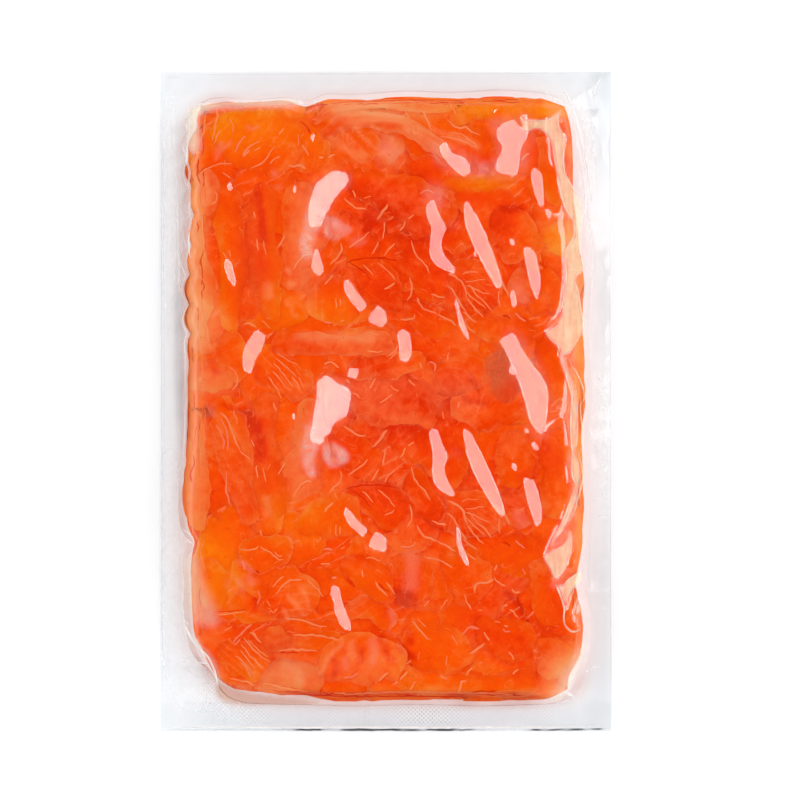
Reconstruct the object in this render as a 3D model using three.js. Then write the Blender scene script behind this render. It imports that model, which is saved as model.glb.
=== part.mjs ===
// Vacuum pouch of smoked salmon trimmings, lying flat with its clear side up.
//
// The pouch is one closed body: two clear films joined all round, drawn tight
// over a pressed, uneven block of sliced fish. It is modelled as the outside of
// the pack, as a solid: a lumpy block with steep rounded sides and a flat
// underside, and the thin flat border of joined film that runs round it.
//
// Millimetres. +Z is up, +Y is the long way of the pouch (its plain top border),
// -Y is the end with the wide embossed border, +X is to the right of it.
// The origin is the middle of the pouch's outline, on the surface it lies on.

import * as THREE from "three";

// ---- pouch -----------------------------------------------------------------
const POUCH_W = 205; // across, X
const POUCH_L = 300; // along, Y
const FILM_T = 0.5; // the two joined films of the border
const CORNER_R = 1.6; // tiny rounding of the cut corners

// ---- fish block, before its outline is made uneven --------------------------
const LEFT = -90.2; // nominal outline of the fish
const RIGHT = 90.2;
const TOP = 137.9;
const BOTTOM = -135.9;
const BLOCK_H = 20.6; // mean height of the upper film over the fish
const ROOT_Z = 4.6; // height at which the two films meet, round the fish
const FOOT_GAP = 1.6; // the films meet this far outside the fish
const WALL = { left: 7.5, right: 11.0, top: 8.0, bottom: 8.5 }; // run of each shoulder
const SKIRT = 6.5; // run of the rounded lower edge
const JOIN = 0.26; // how softly the sides run into each other at a corner

// Each corner of the fish is drawn in from its nominal square corner: how far in
// X and Y, and how far along each side that reaches. The lower left is cut away
// most, as a long slant.
const CORNERS = [
  { side: [-1, -1], by: [10.5, 12.0], reach: [15, 20] },
  { side: [1, -1], by: [4.2, 4.2], reach: [11, 11] },
  { side: [-1, 1], by: [3.2, 3.0], reach: [9, 9] },
  { side: [1, 1], by: [3.0, 2.6], reach: [10, 9] },
];

// ---- border -----------------------------------------------------------------
const EDGE_Z = 1.5; // mean height of the border's outer edge
const RIPPLE = 0.75; // rise and fall of the border along its length

const gauss = (t) => Math.exp(-t * t);
const clamp01 = (t) => Math.min(1, Math.max(0, t));
const smooth = (a, b, t) => {
  const s = clamp01((t - a) / (b - a));
  return s * s * (3 - 2 * s);
};
const mix = (a, b, t) => a + (b - a) * t;

// ---- how far each side of the fish stands out of its nominal line -----------
// Tucks of the film between the ends of the slices make the left side scalloped.
const SCALLOP = { pitch: 13.2, depth: 2.3, from: 32, to: 126, phase: 3.9 };
function leftShift(y) {
  const s = SCALLOP;
  const on = smooth(s.from - 12, s.from, y) * (1 - smooth(s.to, s.to + 8, y));
  const bump = Math.abs(Math.sin((Math.PI * (y - s.phase)) / s.pitch));
  return (
    on * s.depth * (0.55 - bump) +
    1.6 * gauss((y - 86) / 12) -
    2.0 * gauss((y + 46) / 17) +
    3.0 * gauss((y + 63) / 4.5) +
    0.5 * Math.sin(y / 19 + 1.1)
  );
}
function rightShift(y) {
  return (
    -5.0 * smooth(72, 132, y) +
    1.1 * Math.sin(y / 8.6 + 0.6) -
    2.2 * gauss((y + 78) / 11) -
    1.1 * gauss((y - 12) / 7) +
    0.7 * gauss((y + 103) / 9)
  );
}
function topShift(x) {
  return (
    1.2 * smooth(-30, 40, x) -
    2.4 * smooth(-20, -60, x) -
    3.3 * gauss((x + 36) / 6) +
    0.5 * Math.sin(x / 7 + 0.4) -
    1.6 * smooth(66, 84, x)
  );
}
function bottomShift(x) {
  return 1.6 * smooth(-40, -76, x) + 0.35 * Math.sin(x / 9);
}

// A grid point of the nominal block moved to the uneven one: each side carries
// the points near it and lets go of them at the border's edge and in the middle.
const HOLD = 34;
function carry(t, edge, side) {
  // t and edge are measured outwards from the middle of the block
  return t > side ? 1 - clamp01((t - side) / (edge - side)) : clamp01((t - side + HOLD) / HOLD) ** 2;
}
function place(x0, y0) {
  const holdX = carry(Math.abs(x0), POUCH_W / 2, x0 < 0 ? -LEFT : RIGHT);
  const holdY = carry(Math.abs(y0), POUCH_L / 2, y0 < 0 ? -BOTTOM : TOP);
  let x = x0 + (x0 < 0 ? leftShift(y0) : rightShift(y0)) * holdX;
  let y = y0 + (y0 < 0 ? bottomShift(x0) : topShift(x0)) * holdY;
  for (const { side, by, reach } of CORNERS) {
    const cx = side[0] < 0 ? LEFT : RIGHT,
      cy = side[1] < 0 ? BOTTOM : TOP;
    if (side[0] * x0 < 0 || side[1] * y0 < 0) continue;
    // the pull is full at the corner and dies away both ways along the sides
    const pull = gauss((x0 - cx) / reach[0]) * gauss((y0 - cy) / reach[1]);
    x -= side[0] * by[0] * pull * Math.sqrt(holdX);
    y -= side[1] * by[1] * pull * Math.sqrt(holdY);
  }
  return [x, y];
}

// ---- how deep inside the fish's outline a nominal point is -------------------
// 0 on the outline, 1 where the shoulder has reached the top of the block.
function depth(x0, y0) {
  const each = [
    (x0 - LEFT) / WALL.left,
    (RIGHT - x0) / WALL.right,
    (TOP - y0) / WALL.top,
    (y0 - BOTTOM) / WALL.bottom,
  ];
  const least = Math.min(...each);
  let sum = 0;
  for (const e of each) sum += Math.exp(-(e - least) / JOIN);
  return least - JOIN * Math.log(sum);
}

// ---- relief of the pressed slices under the film -----------------------------
const LUMPS = [
  // x, y, half width, half length, turn, rise
  [-72, 112, 24, 15, 0.2, 0.7],
  [-66, 62, 15, 34, 0.05, 1.0],
  [-20, 118, 34, 10, 0.05, 0.8],
  [45, 116, 26, 12, -0.3, 0.9],
  [4, 84, 26, 17, 0.3, -0.8],
  [42, 70, 13, 26, 0.35, 1.1],
  [72, 78, 10, 30, 0.1, 0.7],
  [-24, 40, 22, 22, 0.5, 0.5],
  [18, 30, 24, 16, -0.5, -0.6],
  [62, 10, 15, 34, 0.4, 1.1],
  [-62, -14, 17, 30, -0.2, 1.0],
  [-22, -6, 18, 30, 0.4, 0.8],
  [22, -32, 20, 26, 0.3, -0.7],
  [45, -38, 12, 28, 0.4, 0.9],
  [-30, -64, 26, 14, 0.2, 0.5],
  [-64, -86, 18, 22, 0.3, 0.6],
  [-20, -96, 24, 20, 0.9, 0.9],
  [12, -112, 30, 12, 0.1, 0.6],
  [52, -100, 26, 22, -0.3, -0.6],
  [70, -70, 9, 26, -0.1, 0.6],
];
function relief(x, y) {
  let z = 0;
  for (const [cx, cy, a, b, turn, rise] of LUMPS) {
    const c = Math.cos(turn),
      s = Math.sin(turn),
      u = (c * (x - cx) + s * (y - cy)) / a,
      v = (-s * (x - cx) + c * (y - cy)) / b;
    z += rise * Math.exp(-((u * u + v * v) ** 1.4));
  }
  return z + 0.22 * Math.sin(x / 6.1 + y / 17) * Math.sin(y / 8.3 - x / 23);
}

// ---- the two films ------------------------------------------------------------
function border(x0, y0, e) {
  // height of the middle of the joined films, falling to the edge in soft waves
  const out = Math.max(
    clamp01((Math.abs(x0) - RIGHT) / (POUCH_W / 2 - RIGHT)),
    clamp01((y0 - TOP) / (POUCH_L / 2 - TOP)),
    clamp01((BOTTOM - y0) / (POUCH_L / 2 + BOTTOM)),
  );
  const wave =
    RIPPLE * (0.6 * Math.sin(y0 / 17 + 0.9 + x0 / 60) + 0.4 * Math.sin(x0 / 21 - 0.7 + y0 / 45));
  const corner = clamp01((Math.abs(x0) - 80) / 22) * clamp01((Math.abs(y0) - 126) / 24);
  return mix(ROOT_Z, EDGE_Z + wave - 0.5 * corner, out ** 0.8);
}
const footOf = (e) => clamp01((e * 8 + FOOT_GAP) / FOOT_GAP);
function upper(x0, y0) {
  const e = depth(x0, y0);
  const [x, y] = place(x0, y0);
  const lip = border(x0, y0, e) + FILM_T / 2;
  const s = clamp01((e * 8 + FOOT_GAP) / (8 + FOOT_GAP));
  const round = Math.sqrt(1 - (1 - s) ** 2.2);
  const top = BLOCK_H + relief(x, y);
  return s <= 0 ? lip : mix(lip, top, round);
}
function lower(x0, y0) {
  const e = depth(x0, y0);
  const lip = border(x0, y0, e) - FILM_T / 2;
  if (footOf(e) <= 0) return lip;
  const s = clamp01((e * 8 + FOOT_GAP) / (SKIRT + FOOT_GAP));
  return lip * (1 - s) ** 2;
}

// ---- grid lines, close together over the shoulders ------------------------------
function lines(edge0, side0, run0, run1, side1, edge1, middle) {
  const out = [edge0, mix(edge0, side0, 0.4), mix(edge0, side0, 0.72)];
  for (const f of [-0.17, 0.0, 0.12, 0.27, 0.46, 0.7, 1.02]) out.push(side0 + f * run0);
  const a = side0 + 1.45 * run0,
    b = side1 - 1.45 * run1;
  for (let i = 0; i <= middle; i++) out.push(mix(a, b, i / middle));
  for (const f of [1.02, 0.7, 0.46, 0.27, 0.12, 0.0, -0.17]) out.push(side1 - f * run1);
  out.push(mix(edge1, side1, 0.72), mix(edge1, side1, 0.4), edge1);
  return out;
}
const MIDDLE_X = 14;
const MIDDLE_Y = 56;
const xs = lines(-POUCH_W / 2, LEFT, WALL.left, WALL.right, RIGHT, POUCH_W / 2, MIDDLE_X);
const ys = lines(-POUCH_L / 2, BOTTOM, WALL.bottom, WALL.top, TOP, POUCH_L / 2, MIDDLE_Y);

// The flat underside: the grid cells that lie flat on the table are one face.
const FLAT = { i0: 10, i1: xs.length - 11, j0: 10, j1: ys.length - 11 };

function pouch() {
  const nx = xs.length,
    ny = ys.length,
    points = [],
    faces = [];
  const id = (i, j, under) => (under ? nx * ny : 0) + j * nx + i;
  for (const under of [false, true])
    for (let j = 0; j < ny; j++)
      for (let i = 0; i < nx; i++) {
        let [x, y] = place(xs[i], ys[j]);
        // the cut corners of the film
        if ((i === 0 || i === nx - 1) && (j === 0 || j === ny - 1)) {
          x -= Math.sign(x) * CORNER_R * 0.3;
          y -= Math.sign(y) * CORNER_R * 0.3;
        }
        points.push(x, y, under ? lower(xs[i], ys[j]) : upper(xs[i], ys[j]));
      }
  const quad = (a, b, c, d) => faces.push(a, b, c, a, c, d);
  for (let j = 0; j < ny - 1; j++)
    for (let i = 0; i < nx - 1; i++) {
      quad(id(i, j), id(i + 1, j), id(i + 1, j + 1), id(i, j + 1));
      const flat = i >= FLAT.i0 && i < FLAT.i1 && j >= FLAT.j0 && j < FLAT.j1;
      if (!flat) quad(id(i, j, 1), id(i, j + 1, 1), id(i + 1, j + 1, 1), id(i + 1, j, 1));
    }
  // one flat polygon under the block
  const loop = [];
  for (let i = FLAT.i0; i < FLAT.i1; i++) loop.push(id(i, FLAT.j0, 1));
  for (let j = FLAT.j0; j < FLAT.j1; j++) loop.push(id(FLAT.i1, j, 1));
  for (let i = FLAT.i1; i > FLAT.i0; i--) loop.push(id(i, FLAT.j1, 1));
  for (let j = FLAT.j1; j > FLAT.j0; j--) loop.push(id(FLAT.i0, j, 1));
  for (const k of loop) points[3 * k + 2] = 0;
  const flatShape = loop.map((k) => new THREE.Vector2(points[3 * k], points[3 * k + 1]));
  for (const [a, b, c] of THREE.ShapeUtils.triangulateShape(flatShape, []))
    faces.push(loop[c], loop[b], loop[a]);
  // the cut edge of the two films
  for (let i = 0; i < nx - 1; i++) {
    quad(id(i, 0), id(i, 0, 1), id(i + 1, 0, 1), id(i + 1, 0));
    quad(id(i + 1, ny - 1), id(i + 1, ny - 1, 1), id(i, ny - 1, 1), id(i, ny - 1));
  }
  for (let j = 0; j < ny - 1; j++) {
    quad(id(0, j + 1), id(0, j + 1, 1), id(0, j, 1), id(0, j));
    quad(id(nx - 1, j), id(nx - 1, j, 1), id(nx - 1, j + 1, 1), id(nx - 1, j + 1));
  }
  // only the points that a face uses
  const renumber = new Map(),
    kept = [];
  const index = faces.map((k) => {
    if (!renumber.has(k)) {
      renumber.set(k, renumber.size);
      kept.push(points[3 * k], points[3 * k + 1], points[3 * k + 2]);
    }
    return renumber.get(k);
  });
  const g = new THREE.BufferGeometry();
  g.setAttribute("position", new THREE.Float32BufferAttribute(kept, 3));
  g.setIndex(index);
  g.computeVertexNormals();
  return g;
}

const fish = new THREE.MeshStandardMaterial({ color: 0xf7581f, roughness: 0.22, metalness: 0 });

const pack = new THREE.Group();
const body = new THREE.Mesh(pouch(), fish);
body.name = "sealed_pouch";
pack.add(body);

export default pack;
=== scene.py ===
"""Vacuum pouch of smoked salmon trimmings, lying flat and seen from straight above.

Lengths in this script are millimetres until a mesh is written, which is in metres.
+X is right, +Y is the far end of the pouch, +Z is up. Places on the pack are given
as pixels of the 800 x 800 view, and at() turns one into millimetres.
"""

import math

import bpy
import numpy as np
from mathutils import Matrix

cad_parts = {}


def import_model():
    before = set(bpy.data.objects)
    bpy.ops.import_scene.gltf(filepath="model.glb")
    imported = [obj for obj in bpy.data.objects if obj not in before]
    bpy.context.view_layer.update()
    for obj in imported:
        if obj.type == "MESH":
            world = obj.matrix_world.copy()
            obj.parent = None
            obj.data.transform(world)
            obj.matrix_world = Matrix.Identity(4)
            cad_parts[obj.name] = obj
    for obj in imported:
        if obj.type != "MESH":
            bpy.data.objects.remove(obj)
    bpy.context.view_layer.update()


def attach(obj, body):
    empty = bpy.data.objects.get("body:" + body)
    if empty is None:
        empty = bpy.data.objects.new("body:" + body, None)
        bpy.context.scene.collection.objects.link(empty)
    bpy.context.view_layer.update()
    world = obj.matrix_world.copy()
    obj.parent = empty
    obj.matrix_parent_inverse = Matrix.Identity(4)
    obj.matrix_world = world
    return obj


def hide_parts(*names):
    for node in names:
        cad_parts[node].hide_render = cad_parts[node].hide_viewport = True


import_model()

# ------------------------------------------------------------------ camera
# 85 mm lens on a 36 mm sensor, straight above the pack.
LENS, SENSOR = 85.0, 36.0
PX = 0.4549  # millimetres to a pixel, at the pouch's border
CAM_X, CAM_Y = 6.37, 0.68
CAM_Z = LENS / SENSOR * 800 * PX + 1.5


def at(px, py, z=20.3):
    """Where a point at height z is, that the camera sees at this pixel."""
    k = PX * (CAM_Z - z) / (CAM_Z - 1.5)
    return (
        CAM_X + (np.asarray(px, float) - 400) * k,
        CAM_Y + (400 - np.asarray(py, float)) * k,
    )


# ------------------------------------------------------------------ small maths
def clamp01(t):
    return np.clip(t, 0.0, 1.0)


def smooth(a, b, t):
    s = clamp01((t - a) / (b - a))
    return s * s * (3 - 2 * s)


def gauss(t):
    return np.exp(-t * t)


def lerp(a, b, t):
    return a + (b - a) * t


def hash2(i, j, seed):
    """A repeatable number from 0 to 1 for each pair of whole numbers."""
    n = (i * 374761393 + j * 668265263 + seed * 974711) & 0x7FFFFFFF
    n = ((n ^ (n >> 13)) * 1274126177) & 0x7FFFFFFF
    return ((n ^ (n >> 16)) & 0xFFFF) / 65535.0


def wobble(x, y, size, seed):
    """Smooth noise from -1 to 1 with cells of this size."""
    x, y = np.asarray(x, float) / size, np.asarray(y, float) / size
    i, j = np.floor(x).astype(np.int64), np.floor(y).astype(np.int64)
    u, v = x - i, y - j
    u, v = u * u * (3 - 2 * u), v * v * (3 - 2 * v)
    a, b = hash2(i, j, seed), hash2(i + 1, j, seed)
    c, d = hash2(i, j + 1, seed), hash2(i + 1, j + 1, seed)
    return 2 * lerp(lerp(a, b, u), lerp(c, d, u), v) - 1


def spline(points, count):
    """Catmull-Rom through rows of numbers, count samples evenly spread along the first two."""
    p = np.asarray(points, float)
    if len(p) == 2:
        p = np.array([p[0], (p[0] + p[1]) / 2, p[1]])
    q = np.vstack([2 * p[0] - p[1], p, 2 * p[-1] - p[-2]])
    out = []
    for k in range(1, len(q) - 2):
        t = np.linspace(0, 1, 24, endpoint=k == len(q) - 3)[:, None]
        a, b, c, d = q[k - 1], q[k], q[k + 1], q[k + 2]
        out.append(
            0.5
            * (
                2 * b
                + (c - a) * t
                + (2 * a - 5 * b + 4 * c - d) * t**2
                + (3 * b - a - 3 * c + d) * t**3
            )
        )
    out = np.vstack(out)
    run = np.r_[0, np.cumsum(np.hypot(*np.diff(out[:, :2], axis=0).T))]
    s = np.linspace(0, run[-1], count)
    return np.stack([np.interp(s, run, out[:, k]) for k in range(p.shape[1])], 1), run[-1]


# ------------------------------------------------------------------ the pack's own shape
# These repeat the driving sizes and functions of the pack's solid.
POUCH_W, POUCH_L, FILM_T = 205.0, 300.0, 0.5
LEFT, RIGHT, TOP, BOTTOM = -90.2, 90.2, 137.9, -135.9
BLOCK_H, ROOT_Z, FOOT_GAP = 20.6, 4.6, 1.6
WALL = {"left": 7.5, "right": 11.0, "top": 8.0, "bottom": 8.5}
SKIRT, JOIN, HOLD = 6.5, 0.26, 34.0
CORNERS = [
    ((-1, -1), (10.5, 12.0), (15, 20)),
    ((1, -1), (4.2, 4.2), (11, 11)),
    ((-1, 1), (3.2, 3.0), (9, 9)),
    ((1, 1), (3.0, 2.6), (10, 9)),
]
EDGE_Z, RIPPLE = 1.5, 0.75
LUMPS = [
    (-72, 112, 24, 15, 0.2, 0.7),
    (-66, 62, 15, 34, 0.05, 1.0),
    (-20, 118, 34, 10, 0.05, 0.8),
    (45, 116, 26, 12, -0.3, 0.9),
    (4, 84, 26, 17, 0.3, -0.8),
    (42, 70, 13, 26, 0.35, 1.1),
    (72, 78, 10, 30, 0.1, 0.7),
    (-24, 40, 22, 22, 0.5, 0.5),
    (18, 30, 24, 16, -0.5, -0.6),
    (62, 10, 15, 34, 0.4, 1.1),
    (-62, -14, 17, 30, -0.2, 1.0),
    (-22, -6, 18, 30, 0.4, 0.8),
    (22, -32, 20, 26, 0.3, -0.7),
    (45, -38, 12, 28, 0.4, 0.9),
    (-30, -64, 26, 14, 0.2, 0.5),
    (-64, -86, 18, 22, 0.3, 0.6),
    (-20, -96, 24, 20, 0.9, 0.9),
    (12, -112, 30, 12, 0.1, 0.6),
    (52, -100, 26, 22, -0.3, -0.6),
    (70, -70, 9, 26, -0.1, 0.6),
]


def left_shift(y):
    on = smooth(20, 32, y) * (1 - smooth(126, 134, y))
    bump = np.abs(np.sin(np.pi * (y - 3.9) / 13.2))
    return (
        on * 2.3 * (0.55 - bump)
        + 1.6 * gauss((y - 86) / 12)
        - 2.0 * gauss((y + 46) / 17)
        + 3.0 * gauss((y + 63) / 4.5)
        + 0.5 * np.sin(y / 19 + 1.1)
    )


def right_shift(y):
    return (
        -5.0 * smooth(72, 132, y)
        + 1.1 * np.sin(y / 8.6 + 0.6)
        - 2.2 * gauss((y + 78) / 11)
        - 1.1 * gauss((y - 12) / 7)
        + 0.7 * gauss((y + 103) / 9)
    )


def top_shift(x):
    return (
        1.2 * smooth(-30, 40, x)
        - 2.4 * smooth(-20, -60, x)
        - 3.3 * gauss((x + 36) / 6)
        + 0.5 * np.sin(x / 7 + 0.4)
        - 1.6 * smooth(66, 84, x)
    )


def bottom_shift(x):
    return 1.6 * smooth(-40, -76, x) + 0.35 * np.sin(x / 9)


def hold(t, edge, side):
    return np.where(
        t > side,
        1 - clamp01((t - side) / (edge - side)),
        clamp01((t - side + HOLD) / HOLD) ** 2,
    )


def shift(x0, y0):
    hx = hold(np.abs(x0), POUCH_W / 2, np.where(x0 < 0, -LEFT, RIGHT))
    hy = hold(np.abs(y0), POUCH_L / 2, np.where(y0 < 0, -BOTTOM, TOP))
    dx = np.where(x0 < 0, left_shift(y0), right_shift(y0)) * hx
    dy = np.where(y0 < 0, bottom_shift(x0), top_shift(x0)) * hy
    for side, by, reach in CORNERS:
        cx = LEFT if side[0] < 0 else RIGHT
        cy = BOTTOM if side[1] < 0 else TOP
        here = (side[0] * x0 >= 0) & (side[1] * y0 >= 0)
        pull = gauss((x0 - cx) / reach[0]) * gauss((y0 - cy) / reach[1]) * here
        dx = dx - side[0] * by[0] * pull * np.sqrt(hx)
        dy = dy - side[1] * by[1] * pull * np.sqrt(hy)
    return dx, dy


def place(x0, y0):
    dx, dy = shift(x0, y0)
    return x0 + dx, y0 + dy


def unplace(x, y):
    x0, y0 = x * 1.0, y * 1.0
    for _ in range(12):
        dx, dy = shift(x0, y0)
        x0, y0 = 0.3 * x0 + 0.7 * (x - dx), 0.3 * y0 + 0.7 * (y - dy)
    return x0, y0


def depth(x0, y0):
    each = np.stack(
        [
            (x0 - LEFT) / WALL["left"],
            (RIGHT - x0) / WALL["right"],
            (TOP - y0) / WALL["top"],
            (y0 - BOTTOM) / WALL["bottom"],
        ]
    )
    least = each.min(0)
    return least - JOIN * np.log(np.exp(-(each - least) / JOIN).sum(0))


def lumps(x, y):
    z = 0.22 * np.sin(x / 6.1 + y / 17) * np.sin(y / 8.3 - x / 23)
    for cx, cy, a, b, turn, rise in LUMPS:
        c, s = math.cos(turn), math.sin(turn)
        u, v = (c * (x - cx) + s * (y - cy)) / a, (-s * (x - cx) + c * (y - cy)) / b
        z = z + rise * np.exp(-((u * u + v * v) ** 1.4))
    return z


def border(x0, y0):
    out = np.maximum.reduce(
        [
            clamp01((np.abs(x0) - RIGHT) / (POUCH_W / 2 - RIGHT)),
            clamp01((y0 - TOP) / (POUCH_L / 2 - TOP)),
            clamp01((BOTTOM - y0) / (POUCH_L / 2 + BOTTOM)),
        ]
    )
    wave = RIPPLE * (
        0.6 * np.sin(y0 / 17 + 0.9 + x0 / 60) + 0.4 * np.sin(x0 / 21 - 0.7 + y0 / 45)
    )
    corner = clamp01((np.abs(x0) - 80) / 22) * clamp01((np.abs(y0) - 126) / 24)
    return lerp(ROOT_Z, EDGE_Z + wave - 0.5 * corner, out**0.8)


def upper(x0, y0, e=None):
    """Height of the upper film, at a nominal point."""
    e = depth(x0, y0) if e is None else e
    x, y = place(x0, y0)
    lip = border(x0, y0) + FILM_T / 2
    s = clamp01((e * 8 + FOOT_GAP) / (8 + FOOT_GAP))
    round_ = np.sqrt(np.clip(1 - (1 - s) ** 2.2, 0, 1))
    return lerp(lip, BLOCK_H + lumps(x, y), round_)


def lower(x0, y0):
    """Height of the lower film."""
    e = depth(x0, y0)
    lip = border(x0, y0) - FILM_T / 2
    s = clamp01((e * 8 + FOOT_GAP) / (SKIRT + FOOT_GAP))
    return np.where(e * 8 + FOOT_GAP <= 0, lip, lip * (1 - s) ** 2)


# ------------------------------------------------------------------ a map of the pack
CELL = 0.5
GX = np.arange(-112, 112.01, CELL)
GY = np.arange(-160, 160.01, CELL)
XX, YY = np.meshgrid(GX, GY)  # rows are y
X0, Y0 = unplace(
    np.clip(XX, -POUCH_W / 2, POUCH_W / 2), np.clip(YY, -POUCH_L / 2, POUCH_L / 2)
)
INSIDE = depth(X0, Y0)  # 0 on the fish's outline, 1 at the top of the shoulder


def read(grid, x, y):
    """A map's value at any place, between its cells."""
    u = np.clip((np.asarray(x) - GX[0]) / CELL, 0, len(GX) - 1.001)
    v = np.clip((np.asarray(y) - GY[0]) / CELL, 0, len(GY) - 1.001)
    i, j = u.astype(int), v.astype(int)
    u, v = u - i, v - j
    return (
        grid[j, i] * (1 - u) * (1 - v)
        + grid[j, i + 1] * u * (1 - v)
        + grid[j + 1, i] * (1 - u) * v
        + grid[j + 1, i + 1] * u * v
    )


def within(px_points, grow=0.0, z=20.3, soft=True, rough=0.0):
    """True in the cells inside a closed outline given in pixels."""
    p = np.asarray(px_points, float)
    if soft:
        p = np.vstack([p, p[:1]])
        p, _ = spline(p, 16 * len(p))
    x, y = at(p[:, 0], p[:, 1], z)
    if grow:
        cx, cy = x.mean(), y.mean()
        r = np.hypot(x - cx, y - cy)
        x, y = cx + (x - cx) * (r + grow) / r, cy + (y - cy) * (r + grow) / r
    i0, i1 = np.searchsorted(GX, [x.min(), x.max()])
    j0, j1 = np.searchsorted(GY, [y.min(), y.max()])
    out = np.zeros(XX.shape, bool)
    X, Y = XX[j0:j1, i0:i1], YY[j0:j1, i0:i1]
    if rough:
        X, Y = X + rough * wobble(X, Y, 2.6, 51), Y + rough * wobble(X, Y, 2.2, 52)
    hit = np.zeros(X.shape, bool)
    for k in range(len(x)):
        xa, ya, xb, yb = x[k - 1], y[k - 1], x[k], y[k]
        if ya == yb:
            continue
        crosses = (ya > Y) != (yb > Y)
        hit ^= crosses & (X < (xb - xa) * (Y - ya) / (yb - ya) + xa)
    out[j0:j1, i0:i1] = hit
    return out


# ------------------------------------------------------------------ light
# One soft box high on the right, met by its mirror image in the film wherever
# the film leans to it.
KEY = np.array([0.42, 0.13, 0.90])
KEY = KEY / np.linalg.norm(KEY)
KEY_HALF = math.radians(8.5)
# Its brightest part, which two of the glints show.
HOT = np.array([0.345, 0.107, 0.932])
HOT = HOT / np.linalg.norm(HOT)
# A second one, lower on the right, shows along the right shoulder.
LOW = np.array([0.70, 0.04, 0.71])
LOW = LOW / np.linalg.norm(LOW)


def leaning(x, y, light=KEY, z=20.3):
    """The slope that shows a soft box to the camera."""
    vx, vy, vz = CAM_X - x, CAM_Y - y, CAM_Z - z
    r = np.sqrt(vx * vx + vy * vy + vz * vz)
    hx, hy, hz = vx / r + light[0], vy / r + light[1], vz / r + light[2]
    return -hx / hz, -hy / hz


# Where the film leans to the light: closed outlines, in pixels.
GLINTS = [
    [(318, 182), (330, 174), (346, 173), (349, 180), (340, 190), (332, 200), (327, 209), (322, 217), (319, 225), (315, 219), (312, 228), (309, 218), (309, 208), (312, 196)],
    [(312, 262), (317, 250), (319, 258), (323, 270), (319, 273), (312, 268)],
    [(426, 206), (434, 203), (438, 214), (446, 226), (441, 238), (441, 250), (449, 262), (456, 270), (446, 269), (433, 262), (430, 246), (432, 228), (427, 219)],
    [(463, 203), (469, 206), (478, 220), (487, 240), (496, 262), (502, 284), (497, 284), (485, 266), (474, 246), (466, 226)],
    [(523, 249), (534, 252), (538, 266), (540, 280), (537, 298), (533, 290), (527, 270)],
    [(530, 172), (540, 173), (543, 190), (541, 206), (536, 194)],
    [(434, 148), (446, 146), (452, 156), (464, 158), (472, 166), (480, 172), (462, 173), (452, 168), (442, 157)],
    [(497, 128), (510, 122), (525, 127), (527, 136), (520, 146), (519, 160), (513, 172), (495, 172), (489, 166), (500, 157), (503, 146), (497, 138)],
    [(343, 282), (349, 284), (357, 294), (366, 305), (363, 309), (354, 303), (347, 294)],
    [(367, 322), (372, 313), (380, 308), (386, 315), (385, 324), (375, 323)],
    [(398, 334), (408, 333), (410, 345), (410, 357), (400, 359), (400, 346)],
    [(247, 345), (257, 333), (265, 335), (262, 348), (255, 358), (250, 371), (244, 370), (243, 356)],
    [(499, 341), (504, 338), (515, 337), (521, 348), (530, 362), (541, 376), (547, 390), (546, 406), (543, 430), (538, 432), (530, 420), (525, 400), (520, 384), (514, 368), (507, 354)],
    [(318, 383), (327, 376), (337, 384), (347, 386), (351, 394), (349, 404), (347, 413), (338, 419), (331, 424), (329, 432), (324, 438), (320, 445), (316, 438), (312, 446), (308, 440), (310, 430), (314, 418), (316, 408), (318, 398)],
    [(345, 377), (352, 372), (359, 367), (358, 373), (350, 378)],
    [(429, 433), (437, 431), (441, 442), (448, 456), (443, 466), (446, 480), (454, 494), (446, 494), (434, 482), (433, 464), (432, 448)],
    [(463, 432), (469, 433), (478, 448), (488, 468), (497, 490), (504, 512), (498, 511), (486, 494), (475, 474), (467, 454)],
    [(524, 479), (533, 481), (538, 494), (541, 510), (538, 525), (533, 516), (527, 498)],
    [(343, 510), (349, 512), (357, 520), (367, 531), (362, 534), (354, 528), (347, 520)],
    [(368, 546), (373, 537), (381, 534), (387, 541), (384, 549), (375, 549)],
    [(334, 602), (340, 600), (345, 612), (350, 626), (345, 629), (338, 617)],
    [(331, 590), (337, 586), (341, 592), (337, 599), (332, 597)],
    [(224, 263), (230, 262), (233, 272), (236, 284), (231, 282), (226, 272)],
    [(455, 300), (458, 303), (460, 316), (465, 328), (469, 338), (465, 336), (459, 322)],
    [(456, 527), (459, 530), (461, 543), (466, 556), (468, 565), (464, 562), (459, 548)],
    [(511, 290), (514, 294), (517, 304), (514, 305), (511, 298)],
    [(184, 668), (196, 658), (210, 660), (212, 667), (202, 674), (190, 676)],
]
# Small ones: middle, half sizes.
for px, py, rx, ry in (
    (295, 190, 1.9, 3.6), (294, 417, 1.9, 3.6), (511, 371, 2.4, 1.9), (313, 137, 1.8, 3.0),
    (302, 102, 2.6, 2.2), (512, 242, 2.4, 2.4), (474, 256, 1.9, 1.7), (527, 431, 2.5, 2.2),
    (535, 446, 2.4, 4.0), (514, 467, 2.4, 2.6), (516, 168, 1.9, 3.6), (495, 112, 2.0, 1.8),
    (230, 187, 2.2, 2.2), (549, 213, 1.9, 1.7),
):
    GLINTS.append([(px + rx * c, py + ry * t) for c, t in ((1, 0), (0.7, 0.7), (0, 1), (-0.7, 0.7), (-1, 0), (-0.7, -0.7), (0, -1), (0.7, -0.7))])

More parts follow.
